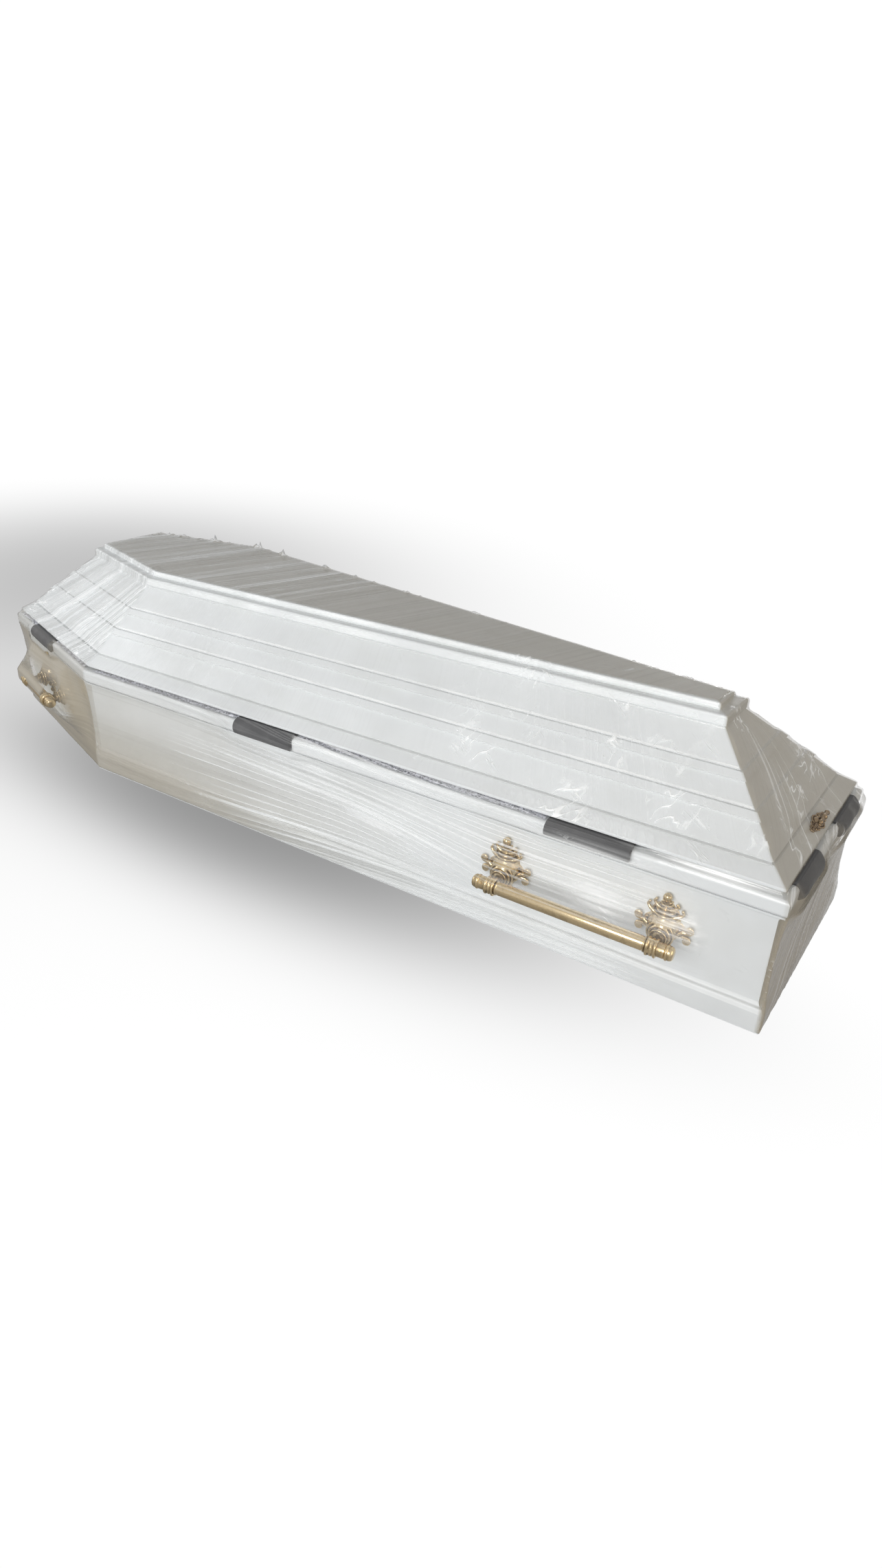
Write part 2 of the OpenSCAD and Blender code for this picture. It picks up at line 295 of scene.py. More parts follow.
# ---- finishes
def makeWhitePaint():
    paint = {"base": (0.735, 0.755, 0.765, 1), "shade": (0.66, 0.675, 0.665, 1), "roughness": 0.32}
    material, tree, shader = newMaterial(
        "whiteLacquer", Specular_IOR_Level=0.45, Coat_Weight=0.25, Coat_Roughness=0.12
    )
    where = objectCoordinates(tree)
    uneven = placeGroup(tree, mottle, Vector=where, Scale=4.0, Amount=0.3)
    # the lacquer is smooth: only the faintest spray lines along the boards
    grain = noiseNode(tree, mappedNode(tree, where, (2, 60, 60)), 1.0, 1.0)
    mark = times(tree, uneven["Smudge"], 0.3)
    shaded = colourNode(tree, mark, paint["base"], paint["shade"])
    toned = colourNode(tree, 1.0, shaded, uneven["Tone"], "MULTIPLY")
    feed(tree, shader["Base Color"], toned)
    rough = times(tree, uneven["Smudge"], 0.14)
    feed(tree, shader["Roughness"], plus(tree, rough, paint["roughness"]))
    height = plus(tree, times(tree, grain, 0.5), times(tree, uneven["Height"], 0.3))
    feed(tree, shader["Normal"], bumpNode(tree, height, 0.06, 0.0005))
    return material


def makeBareWood():
    material, tree, shader = newMaterial("bareWood", Roughness=0.7)
    where = mappedNode(tree, objectCoordinates(tree), (1.2, 16, 16))
    bands = {"Vector": where, "Scale": 0.5, "Distortion": 5.0, "Detail": 3.0}
    ring = newNode(tree, "TexWave", bands, wave_type="BANDS", bands_direction="Y")
    fibre = noiseNode(tree, mappedNode(tree, objectCoordinates(tree), (8, 400, 400)), 1.0, 4.0)
    light = colourNode(tree, ring.outputs["Fac"], (0.62, 0.46, 0.28, 1), (0.48, 0.32, 0.17, 1))
    dark = times(tree, fibre, 0.4)
    feed(tree, shader["Base Color"], colourNode(tree, dark, light, (0.35, 0.22, 0.11, 1)))
    feed(tree, shader["Normal"], bumpNode(tree, fibre, 0.3, 0.0005))
    return material


def makeFoam():
    foam = {"dark": (0.055, 0.055, 0.058, 1), "light": (0.15, 0.15, 0.155, 1)}
    material, tree, shader = newMaterial("greyFoam", Specular_IOR_Level=0.35)
    where = objectCoordinates(tree)
    pores = newNode(tree, "TexVoronoi", {"Vector": where, "Scale": 900.0})
    skin = ownCoordinates(tree, "alongSleeve")
    lines = placeGroup(tree, creases, Vector=skin, Stretch=(3, 60, 1), Width=0.3, Gaps=0.4)
    slow = noiseNode(tree, where, 25.0, 4.0)
    pale = plus(tree, times(tree, lines["Mask"], 0.45), rangeNode(tree, slow, 0.4, 0.8, 0.0, 0.4), True)
    feed(tree, shader["Base Color"], colourNode(tree, pale, foam["dark"], foam["light"]))
    feed(tree, shader["Roughness"], rangeNode(tree, slow, 0.3, 0.7, 0.38, 0.62))
    height = minus(tree, pores.outputs["Distance"], times(tree, lines["Height"], 0.6))
    feed(tree, shader["Normal"], bumpNode(tree, height, 0.35, 0.0008))
    return material


def makeMetal(name, bright, dull, depth):
    material, tree, shader = newMaterial(name, Metallic=1.0)
    where = objectCoordinates(tree)
    tarnished = placeGroup(
        tree, tarnish, Vector=where, Cavity=attributeNode(tree, "cavity"), Bright=bright, Dull=dull, Depth=depth
    )
    feed(tree, shader["Base Color"], tarnished["Colour"])
    feed(tree, shader["Roughness"], tarnished["Roughness"])
    feed(tree, shader["Normal"], bumpNode(tree, tarnished["Height"], 0.12, 0.0004))
    return material


filmKeys = ("pull", "dustAndShade", "curl", "paintedGlare", "slope")


def makeFilm():
    film = {
        # clear: the film's own colour, also the white of its painted highlights and glare
        "clear": (0.97, 0.98, 0.98, 1),
        "dusty": (0.40, 0.355, 0.275, 1),
        "fold": (0.30, 0.31, 0.31, 1),
        "pressed": [(74.5, 3.2, 1.0), (130.5, 3.2, 1.0), (197, 7, 0.5), (223, 5, 0.7)],
        "shadowed": [(54, 3, 0.35), (110, 3, 0.35), (0, 6, 0.55), (189, 2.5, 0.3), (214, 4, 0.35)],
    }
    material, tree, shader = newMaterial("stretchFilm", Roughness=0.16, Specular_IOR_Level=0.9)
    where = ownCoordinates(tree, "alongPull")
    pull, dustAndShade, curl, paintedGlare, slope = (attributeNode(tree, name) for name in filmKeys)
    fine = placeGroup(tree, creases, Vector=where, Stretch=(0.5, 105, 1), Width=0.34, Gaps=0.36)
    broad = placeGroup(tree, creases, Vector=where, Stretch=(0.3, 30, 1), Width=0.2, Gaps=0.44)
    moved = mappedNode(tree, where, shift=(4.7, 2.9, 0))
    fold = placeGroup(tree, creases, Vector=moved, Stretch=(0.4, 50, 1), Width=0.45, Gaps=0.4)
    # short curled strokes where the film has gone slack; their white is a painted glint
    slanted = mappedNode(tree, where, turn=(0, 0, 0.7), shift=(1.3, 0.4, 0))
    stroke = placeGroup(tree, creases, Vector=slanted, Stretch=(15, 62, 1), Width=0.22, Gaps=0.46)
    crossed = mappedNode(tree, where, turn=(0, 0, -0.9), shift=(0.2, 2.4, 0))
    nick = placeGroup(tree, creases, Vector=crossed, Stretch=(38, 150, 1), Width=0.3, Gaps=0.52)
    patchy = noiseNode(tree, mappedNode(tree, where, (9, 9, 1), shift=(3, 5, 2)), 1.0, 2.0)
    marked = larger(tree, stroke["Mask"], times(tree, nick["Mask"], 0.7))
    slack = times(tree, marked, rangeNode(tree, patchy, 0.46, 0.62))
    curled = times(tree, slack, curl, True)
    # painted highlight: the streak lines and curled strokes make the film white and less clear
    lines = plus(tree, times(tree, fine["Mask"], 0.7), times(tree, broad["Mask"], 0.9))
    bright = plus(tree, times(tree, lines, pull), times(tree, curled, 0.9), True)
    # painted glare: brushed white patches of reflected light on the film
    brushed = noiseNode(tree, mappedNode(tree, where, (5, 95, 1), shift=(2.2, 0, 0)), 1.0, 2.0)
    glare = times(tree, paintedGlare, rangeNode(tree, brushed, 0.34, 0.6, 0.45, 1.15), True)
    bright = larger(tree, bright, glare)
    # painted highlight: a bright line in the film above each of the lid's raised strips; painted shade: a soft
    # dark line below
    uneven = rangeNode(tree, noiseNode(tree, mappedNode(tree, where, (7, 7, 1)), 1.0, 2.0), 0.3, 0.7, 0.35, 1.0)

    def nearLines(lines, core):
        found = 0.0
        for at, width, strength in lines:
            away = mathNode(tree, "ABSOLUTE", minus(tree, slope, at * mm))
            found = larger(tree, found, rangeNode(tree, away, width * mm, width * core * mm, 0.0, strength))
        return found

    pressed, shadowed = nearLines(film["pressed"], 0.3), nearLines(film["shadowed"], 0.0)
    clearOfDustAndShade = minus(tree, 1.0, times(tree, dustAndShade, 1.1), True)
    bright = larger(tree, bright, times(tree, pressed, times(tree, uneven, clearOfDustAndShade)))
    # painted shade: dark fold lines and the soft dark lines below the strips
    foldAndStripShade = larger(tree, times(tree, times(tree, fold["Mask"], pull), 0.36), times(tree, shadowed, clearOfDustAndShade))
    # dust and painted shade: a beige-brown cover over the film
    dustAndShadeCover = plus(tree, times(tree, dustAndShade, 0.5), 0.03)
    rest = plus(tree, foldAndStripShade, dustAndShadeCover, True)
    feed(tree, shader["Alpha"], larger(tree, bright, rest))
    foldShare = mathNode(tree, "DIVIDE", foldAndStripShade, plus(tree, rest, 0.001))
    dull = colourNode(tree, foldShare, film["dusty"], film["fold"])
    dustAndShadeShare = rangeNode(tree, dustAndShade, 0.0, 0.12)
    dull = colourNode(tree, larger(tree, dustAndShadeShare, foldAndStripShade), film["clear"], dull)
    share = rangeNode(tree, minus(tree, bright, times(tree, rest, 0.4)), 0.0, 0.3)
    feed(tree, shader["Base Color"], colourNode(tree, share, dull, film["clear"]))
    height = plus(tree, times(tree, broad["Height"], pull), times(tree, fine["Height"], 0.3))
    height = plus(tree, height, times(tree, curled, 1.5))
    feed(tree, shader["Normal"], bumpNode(tree, height, 0.6, 0.0015))
    return material


def makeLining():
    material, tree, shader = newMaterial("satinLining", Roughness=0.4, Sheen_Weight=0.3)
    where = objectCoordinates(tree)
    speckle = noiseNode(tree, where, 240.0, 3.0, 0.7)
    shade = rangeNode(tree, speckle, 0.38, 0.52)
    feed(tree, shader["Base Color"], colourNode(tree, shade, (0.16, 0.16, 0.2, 1), (0.85, 0.86, 0.93, 1)))
    feed(tree, shader["Normal"], bumpNode(tree, speckle, 0.5, 0.001))
    return material


whitePaint, bareWood, greyFoam = makeWhitePaint(), makeBareWood(), makeFoam()
brass = makeMetal("brassFinish", (0.70, 0.55, 0.33, 1), (0.16, 0.115, 0.065, 1), 2.2)
bronze = makeMetal("agedBronze", (0.30, 0.22, 0.14, 1), (0.07, 0.045, 0.03, 1), 2.2)
clearFilm, liningCloth = makeFilm(), makeLining()
print("finishes made")


# ---- joinery: the CAD boards and mouldings keep their shape and get their finish
for name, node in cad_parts.items():
    finish = bareWood if name == "bottom_board" else whitePaint
    node.data.materials.clear()
    node.data.materials.append(finish)
    for face in node.data.polygons:
        face.material_index = 0


# ---- mesh helpers
def addPiece(name, mesh, finish, sharp=35):
    mesh.name = name
    mesh.materials.clear()
    mesh.materials.append(finish)
    mesh.shade_smooth()
    if sharp:
        mesh.set_sharp_from_angle(angle=math.radians(sharp))
    piece = bpy.data.objects.new(name, mesh)
    scene.collection.objects.link(piece)
    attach(piece, "root")
    return piece


def asMesh(bm, name="part"):
    mesh = bpy.data.meshes.new(name)
    bm.to_mesh(mesh)
    bm.free()
    return mesh


def joinTo(target, bm, place=None):
    if place is not None:
        bm.transform(place)
    bmesh.ops.recalc_face_normals(bm, faces=bm.faces)
    part = asMesh(bm)
    target.from_mesh(part)
    bpy.data.meshes.remove(part)


def spinRound(bm, steps):
    turn = {"cent": (0, 0, 0), "axis": (0, 0, 1), "angle": math.tau, "steps": steps}
    bmesh.ops.spin(bm, geom=bm.verts[:] + bm.edges[:], use_merge=True, **turn)
    bmesh.ops.remove_doubles(bm, verts=bm.verts, dist=1e-4)


def lathe(target, outline, place=None, steps=32):
    # outline is radius and height, spun about Z and closed at its poles
    bm = bmesh.new()
    points = [bm.verts.new((radius, 0, height)) for radius, height in outline]
    for pair in zip(points, points[1:]):
        bm.edges.new(pair)
    spinRound(bm, steps)
    joinTo(target, bm, place)


def ball(target, centre, radius, squash=(1, 1, 1)):
    bm = bmesh.new()
    bmesh.ops.create_uvsphere(bm, u_segments=20, v_segments=12, radius=radius)
    joinTo(target, bm, Matrix.Translation(centre) @ Matrix.Diagonal((*squash, 1)))


def hoop(target, radius, thick, place, steps=40):
    bm = bmesh.new()
    made = bmesh.ops.create_circle(bm, segments=12, radius=thick)["verts"]
    bmesh.ops.rotate(bm, verts=made, cent=(0, 0, 0), matrix=Matrix.Rotation(math.pi / 2, 3, "X"))
    bmesh.ops.translate(bm, verts=made, vec=(radius, 0, 0))
    spinRound(bm, steps)
    joinTo(target, bm, place)


def stem(target, path, radii):
    # a round rod along a path, thicker or thinner as it goes
    curve = bpy.data.curves.new("stem", "CURVE")
    curve.dimensions, curve.bevel_depth, curve.bevel_resolution, curve.use_fill_caps = "3D", 1, 3, True
    spline = curve.splines.new("POLY")
    spline.points.add(len(path) - 1)
    for point, spot, radius in zip(spline.points, path, radii):
        point.co, point.radius = (*spot, 1), radius
    holder = bpy.data.objects.new("stem", curve)
    mesh = bpy.data.meshes.new_from_object(holder)
    target.from_mesh(mesh)
    bpy.data.meshes.remove(mesh)
    bpy.data.curves.remove(curve)


def fuse(bm, voxel, keep, cutters, smooth=2):
    # melts overlapping shells into one casting, cuts it, and thins its mesh
    blank = bpy.data.objects.new("blank", asMesh(bm))
    scene.collection.objects.link(blank)
    melt = blank.modifiers.new("melt", "REMESH")
    melt.mode, melt.voxel_size = "VOXEL", voxel
    ease = blank.modifiers.new("ease", "SMOOTH")
    ease.factor, ease.iterations = 0.5, smooth
    tools = []
    for cutter in cutters:
        tool = bpy.data.objects.new("tool", asMesh(cutter))
        scene.collection.objects.link(tool)
        cut = blank.modifiers.new("cut", "BOOLEAN")
        cut.operation, cut.solver, cut.object = "DIFFERENCE", "EXACT", tool
        tools.append(tool)
    thin = blank.modifiers.new("thin", "DECIMATE")
    thin.ratio = keep
    graph = bpy.context.evaluated_depsgraph_get()
    mesh = bpy.data.meshes.new_from_object(blank.evaluated_get(graph), depsgraph=graph)
    for spent in [blank, *tools]:
        old = spent.data
        bpy.data.objects.remove(spent)
        bpy.data.meshes.remove(old)
    return mesh


def markHollows(mesh, reach):
    # writes how far each point sits below its neighbours, for the metal's tarnish
    count = len(mesh.vertices)
    places, normals = np.zeros(count * 3), np.zeros(count * 3)
    mesh.vertices.foreach_get("co", places)
    mesh.vertices.foreach_get("normal", normals)
    places, normals = places.reshape(-1, 3), normals.reshape(-1, 3)
    ends = np.zeros(len(mesh.edges) * 2, int)
    mesh.edges.foreach_get("vertices", ends)
    a, b = ends.reshape(-1, 2).T
    total, links = np.zeros((count, 3)), np.zeros(count)
    np.add.at(total, a, places[b])
    np.add.at(total, b, places[a])
    np.add.at(links, a, 1)
    np.add.at(links, b, 1)
    depth = ((total / np.maximum(links, 1)[:, None] - places) * normals).sum(1) / reach
    for _ in range(4):
        spread = np.zeros(count)
        np.add.at(spread, a, depth[b])
        np.add.at(spread, b, depth[a])
        depth = 0.4 * depth + 0.6 * spread / np.maximum(links, 1)
    store = mesh.attributes.new("cavity", "FLOAT", "POINT")
    store.data.foreach_set("value", np.clip(depth + 0.12, 0, 1).astype(np.float32))


def placedCopy(mesh, place):
    copy = mesh.copy()
    copy.transform(place @ Matrix.Scale(mm, 4))
    return copy


# ---- handle brackets: one casting, in millimetres, X along the wall, Y up from the bar, Z out
bracketCast = {
    "body": [
        (0, -17), (10, -16), (17, -9), (23, -1), (26, 8), (25.5, 17), (21.5, 26), (15.5, 35), (10, 43),
        (7, 52), (0, 52),
    ],
    "drop": [
        (0, -54), (3, -53), (6, -49), (4.5, -45), (6, -42), (9.5, -39), (9.5, -34), (6.5, -31),
        (7.5, -26), (11.5, -23), (12, -19), (8, -12), (0, -11),
    ],
    "neck": [(0, 12), (18, 12), (18, 20), (15, 23), (12, 30), (9.5, 36), (8.5, 44), (10, 54), (0, 54)],
    "crown": [(31, 18.6), (36, 15.2), (41, 11.8), (46, 9.4), (51, 7.6)],
    "arches": [(16, 24.5, 2.2), (20.5, 20.5, 1.9), (12.8, 31, 1.5)],
    "ballAt": 61,
    "ballRadius": 7.3,
    "horns": [
        [(4, 38, 7), (11, 41, 8), (16, 44, 7), (19, 49, 6), (16.5, 52, 6)],
        [(9, 27, 12), (18, 31, 10), (24, 34, 8), (28.5, 39, 6), (26, 43.5, 6)],
    ],
    "scrolls": [(40, 13, 6.2, -90, 1.35), (37.5, -7.5, 6.0, 90, -1.35)],
    "collarRadius": 13.6,
    "collarHalf": 8.6,
    "barBore": 11.75,
    "plate": 2.2,
    "plateLobes": [(0, 24, 24), (0, 2, 27), (-20, 6, 14), (20, 6, 14), (0, -20, 13), (0, -36, 9)],
    "plateBeads": [(-22, 4.5), (-30, 3.5)],
    "voxel": 0.85,
    "keep": 0.42,
}


def spiral(centre, radius, start, turns, height, steps=26):
    path = []
    for n in range(steps + 1):
        share = n / steps
        angle = math.radians(start) + share * turns * math.tau
        reach = radius * (1 - 0.72 * share)
        x, y = centre[0] + reach * math.cos(angle), centre[1] + reach * math.sin(angle)
        path.append((x, y, height + 1.5 * share))
    return path


def castBracket():
    cast, bm = bracketCast, bmesh.new()
    upright = Matrix.Rotation(-math.pi / 2, 4, "X")
    lathe(bm, cast["body"], upright)
    lathe(bm, cast["drop"], upright)
    lathe(bm, cast["neck"])
    for height, radius in cast["crown"]:
        hoop(bm, radius, 1.5, Matrix.Translation((0, height, 0)) @ upright)
    for radius, out, thick in cast["arches"]:
        hoop(bm, radius, thick, Matrix.Translation((0, 0, out)))
    ball(bm, (0, cast["ballAt"], 7), cast["ballRadius"])
    lathe(bm, [(0, 48), (4.6, 48), (4.2, 55), (0, 55)], Matrix.Translation((0, 0, 6)) @ upright)
    barAt = frameBarOut / mm
    sideways = Matrix.Translation((0, 0, barAt)) @ Matrix.Rotation(math.pi / 2, 4, "Y")
    half, thick = cast["collarHalf"], cast["collarRadius"]
    lathe(bm, [(0, -half), (thick, -half), (thick, half), (0, half)], sideways)
    for along in (-half + 2.2, half - 2.2):
        hoop(bm, thick, 2.1, sideways @ Matrix.Translation((0, 0, along)))
    hoop(bm, thick - 0.4, 1.4, sideways)
    for way in (-1, 1):
        for horn in cast["horns"]:
            path = [(way * x, y, z) for x, y, z in horn]
            stem(bm, path, [3.8, 3.4, 3.0, 2.5, 2.0])
            ball(bm, path[-1], 2.5)
        for x, y, radius, start, turns in cast["scrolls"]:
            lead = [(12, 0, 9), (22, 1 if turns > 0 else -2, 8), (31, y + (-1 if turns > 0 else 1) * 6.5, 6.5)]
            curl = spiral((x, y), radius, start, turns, 5.5)
            path = [(way * px, py, pz) for px, py, pz in lead + curl]
            thickness = [4.2, 3.8, 3.2] + [2.9 - 1.1 * n / len(curl) for n in range(len(curl))]
            stem(bm, path, thickness)
            ball(bm, (way * x, y, 6.5), 2.6)
    # leaf-edged back plate
    plate = cast["plate"]
    for x, y, r in cast["plateLobes"]:
        lathe(bm, [(0, 0), (r, 0), (r - 1.5, plate), (0, plate + 0.6)], Matrix.Translation((x, y, 0)))
    for way in (-1, 1):
        for y, r in cast["plateBeads"]:
            ball(bm, (way * 9.5, y, 2), r, (1.2, 1, 0.8))
    wallSide = bmesh.new()
    bmesh.ops.create_cube(wallSide, size=200, matrix=Matrix.Translation((0, 0, -99.9)))
    bore, wide = bmesh.new(), cast["barBore"]
    bmesh.ops.create_cone(
        bore, cap_ends=True, segments=64, radius1=wide, radius2=wide, depth=60, matrix=sideways
    )
    mesh = fuse(bm, cast["voxel"], cast["keep"], [wallSide, bore])
    markHollows(mesh, 0.12)
    return mesh


# ---- handle bars, in millimetres about their own axis
barTurning = {
    "radius": 11.5,
    "tip": 6.0,
    "capRing": [(0, 8.5), (1.2, 9.5), (1.4, 10.6), (1.0, 11.8), (0, 12.6), (-0.7, 13.3), (0, 14)],
    "innerRing": [(0, 0), (0.9, 1.2), (0.9, 3.4), (-0.3, 4.6), (-0.3, 6), (0, 7.5)],
    "screwAt": 19.0,
    "screwRadius": 2.4,
}


def turnBar(length, collarHalf, spacing):
    bar, bm, half = barTurning, bmesh.new(), length / 2
    radius, tip = bar["radius"], bar["tip"]
    outline = [(0, -half)]
    outline += [
        (radius - tip + tip * math.sin(a), -half + tip - tip * math.cos(a))
        for a in [math.radians(15 * n) for n in range(1, 7)]
    ]
    inner = spacing / 2 - collarHalf
    for ring, start in (("capRing", half), ("innerRing", inner)):
        outline += [(radius + out, along - start) for out, along in bar[ring]]
    whole = outline + [(r, -z) for r, z in reversed(outline)]
    lathe(bm, whole, Matrix.Rotation(math.pi / 2, 4, "Y"), steps=56)
    for way in (-1, 1):
        # small set screw in the face of each end cap
        screw, wide = bmesh.new(), bar["screwRadius"]
        bmesh.ops.create_cone(screw, cap_ends=True, segments=20, radius1=wide, radius2=wide - 0.3, depth=2.4)
        top = [f for f in screw.faces if f.normal.z > 0.9]
        bmesh.ops.inset_region(screw, faces=top, thickness=0.8)
        bmesh.ops.translate(screw, verts=top[0].verts[:], vec=(0, 0, -0.9))
        tilt = Matrix.Rotation(math.radians(-32), 4, "X")
        joinTo(bm, screw, tilt @ Matrix.Translation((way * (half - bar["screwAt"]), 0, radius - 0.4)))
    mesh = asMesh(bm)
    markHollows(mesh, 0.5)
    return mesh


handles = [(sideNames[side], side) for side in (rightShoulder, rightSide, leftSide, leftShoulder)]
wallSetBack = footRim[1].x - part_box("foot_wall")[1].x
handleBoxes = {}
for handle, side in handles:
    start, end = alongSide(handle + "_handle_bar", side)
    low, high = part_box(handle + "_handle_bar")
    middle = Vector(((low.x + high.x) / 2, (low.y + high.y) / 2))
    handleBoxes[handle] = {
        "side": side,
        "start": start,
        "end": end,
        "height": (low.z + high.z) / 2,
        "out": (corners[side] - middle).dot(sideAxes(side)[1]),
        "brackets": [sum(alongSide(f"{handle}_{which}_bracket", side)) / 2 for which in ("first", "second")],
    }
frameBarOut = handleBoxes["right_side"]["out"] + wallSetBack

bracketMesh = castBracket()
print("bracket cast:", len(bracketMesh.polygons), "faces")
for handle, side in handles:
    held = handleBoxes[handle]
    for end, x in zip(("first", "second"), held["brackets"]):
        cast = placedCopy(bracketMesh, sideFrame(side, x, wallSetBack, held["height"]))
        piece = addPiece(f"{handle}_{end}_cast_bracket", cast, brass, sharp=60)
        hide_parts(f"{handle}_{end}_bracket")
    length, spacing = held["end"] - held["start"], held["brackets"][1] - held["brackets"][0]
    bar = turnBar(length / mm, bracketCast["collarHalf"], spacing / mm)
    place = sideFrame(side, (held["start"] + held["end"]) / 2, -held["out"], held["height"])
    piece = addPiece(f"{handle}_carrying_bar", placedCopy(bar, place), brass, sharp=40)
    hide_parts(handle + "_handle_bar")
    bpy.data.meshes.remove(bar)
bpy.data.meshes.remove(bracketMesh)
print("handles made")


# ---- closing screws: a leafed rosette with a wing, in millimetres, on the rail's slope
screwCast = {
    "lobes": [(0, 12.5, 3.2), (14, 9.5, 2.9), (23, 7, 2.6), (30, 4.8, 2.2)],
    "plate": 2.4,
    "wingHeight": 15,
    "wingHalf": 17,
    "railRun": 25.0,
    "railRise": 15.0,
    "setBack": 25.5,
    "height": 14.5,
}


def castScrew():
    cast, bm = screwCast, bmesh.new()
    for way in (-1, 1):
        for x, radius, bulge in cast["lobes"]:
            outline = [(0, 0), (radius, 0), (radius - 0.8, cast["plate"]), (0, bulge)]
            lathe(bm, outline, Matrix.Translation((way * x, 0, 0)))
            hoop(bm, radius - 1.1, 0.9, Matrix.Translation((way * x, 0, cast["plate"])))
        # leaf veins fan out from the middle of each arm
        for n in range(-3, 4):
            angle = math.radians(24 * n)
            tip = (way * (15 + 8.5 * math.cos(angle)), 8.5 * math.sin(angle), 3.0)
            stem(bm, [(way * 9, 0, 3.2), tip], [1.5, 0.8])
            ball(bm, (tip[0], tip[1], 2.6), 1.5)
        stem(bm, [(way * 4, 0, 4), (way * 18, 0, 4.2), (way * 33, 0, 2.4)], [2.0, 1.7, 1.0])
    for n in range(14):
        angle = n * math.tau / 14
        ball(bm, (12 * math.cos(angle), 12 * math.sin(angle), 2.6), 1.5)
    lathe(bm, [(0, 0), (9.5, 0), (9, 4), (6, 6.5), (3.6, 8), (3.4, 12), (4.6, 15), (0, 16)])
    half, high = cast["wingHalf"], cast["wingHeight"]
    for way in (-1, 1):
        wing = [(0, 0, high), (way * 5, 1.5, high + 1), (way * 10, 0.5, high + 1.4), (way * half, 0, high)]
        stem(bm, wing, [4.4, 3.0, 2.8, 3.8])
        ball(bm, (way * (half + 1), 0, high), 4.4)
        ball(bm, (way * (half + 5), 0, high), 2.2)
    ball(bm, (0, 0, high + 1.5), 4.6)
    under = bmesh.new()
    bmesh.ops.create_cube(under, size=120, matrix=Matrix.Translation((0, 0, -59.95)))
    mesh = fuse(bm, 0.55, 0.45, [under], smooth=1)
    markHollows(mesh, 0.1)
    return mesh


screwMesh = castScrew()
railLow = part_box("foot_lid_rail")[0].z
lean = math.pi / 2 - math.atan2(screwCast["railRise"], screwCast["railRun"])
for end, side in (("foot", footEnd), ("head", headEnd)):
    place = sideFrame(side, 0, screwCast["setBack"] * mm, railLow + screwCast["height"] * mm, lean)
    piece = addPiece(f"{end}_cast_closing_screw", placedCopy(screwMesh, place), bronze, sharp=60)
    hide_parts(f"{end}_closing_screw")
bpy.data.meshes.remove(screwMesh)
print("closing screws made")


# ---- foam sleeves: slit tube hooked over the rim, in millimetres of set-back and height over the rim's top
sleeveCut = {
    "section": [
        (26, 6.3), (14, 6.4), (6, 6.3), (0, 5.4), (-5, 2.6), (-8.6, -2), (-10.2, -8), (-10.0, -15), (-8.2, -21),
        (-5, -24), (-2.2, -23.4), (-0.9, -20), (-0.5, -12), (-0.5, -6), (1.5, -1.8), (6, 0.3), (14, 0.4),
        (26, 0.4), (27.2, 3.2),
    ],
    "cuts": 26,
    "dents": 0.7,
    "endRound": 0.3,
    "drop": {"right_foot_side": 0.74},
    "endReach": 16.0,
}
sleeves = {
    "right_shoulder": rightShoulder,
    "right_side": rightSide,
    "right_foot_side": rightSide,
    "right_foot_end": footEnd,
    "left_foot_end": footEnd,
    "left_foot_side": leftSide,
    "left_side": leftSide,
    "left_shoulder": leftShoulder,
    "left_head_end": headEnd,
    "right_head_end": headEnd,
}
rimTop = headRim[1].z


def smoothLoop(points):
    # corner cutting, so that a few section points give a soft outline
    cut = []
    for a, b in zip(points, points[1:] + points[:1]):
        cut += [(a[0] * near + b[0] * (1 - near), a[1] * near + b[1] * (1 - near)) for near in (0.75, 0.25)]
    return cut


def cutSleeve(side, start, end, seed, drop):
    sleeve, bm = sleeveCut, bmesh.new()
    section = smoothLoop([(back, height * (drop if height < 0 else 1)) for back, height in sleeve["section"]])
    length = (end - start) / mm
    loop = [bm.verts.new((-length / 2, setBack, height)) for setBack, height in section]
    cap = bm.faces.new(loop)
    made = bmesh.ops.extrude_face_region(bm, geom=[cap])["geom"]
    far = [v for v in made if isinstance(v, bmesh.types.BMVert)]
    bmesh.ops.translate(bm, verts=far, vec=(length, 0, 0))
    runs = [e for e in bm.edges if abs(e.verts[0].co.x - e.verts[1].co.x) > 1]
    bmesh.ops.subdivide_edges(bm, edges=runs, cuts=sleeve["cuts"], use_grid_fill=False)
    rims = [e for e in bm.edges if all(abs(abs(v.co.x) - length / 2) < 0.01 for v in e.verts)]
    soft = {"offset": 1.2, "segments": 2, "profile": 0.5, "affect": "EDGES", "material": -1}
    bmesh.ops.bevel(bm, geom=rims, clamp_overlap=True, **soft)
    bmesh.ops.recalc_face_normals(bm, faces=bm.faces)
    uv = bm.loops.layers.uv.new("alongSleeve")
    for face in bm.faces:
        for loop in face.loops:
            spot = loop.vert.co
            loop[uv].uv = (spot.x * mm, (spot.z - spot.y) * mm)
    rounded = sleeve["endRound"] if side in (footEnd, headEnd) else 0.0
    for v in bm.verts:
        x, y, z = v.co
        bump = noise.noise(Vector((x * 0.035 + seed, y * 0.06, z * 0.06)))
        free = min(1.0, max(0.0, (4.0 - y) / 12.0))  # the part outside the rim is free to bulge
        near = max(0.0, 1 - (length / 2 - abs(x)) / sleeve["endReach"])
        pinch = rounded * near * near * free
        v.co.y = y - free * sleeve["dents"] * bump * 2 + pinch * 14
        v.co.z = z + free * sleeve["dents"] * bump - pinch * (z + 9) * 0.9
    mesh = asMesh(bm)
    mesh.transform(rimFrame(side, (start + end) / 2, rimTop) @ Matrix.Scale(mm, 4))
    return mesh


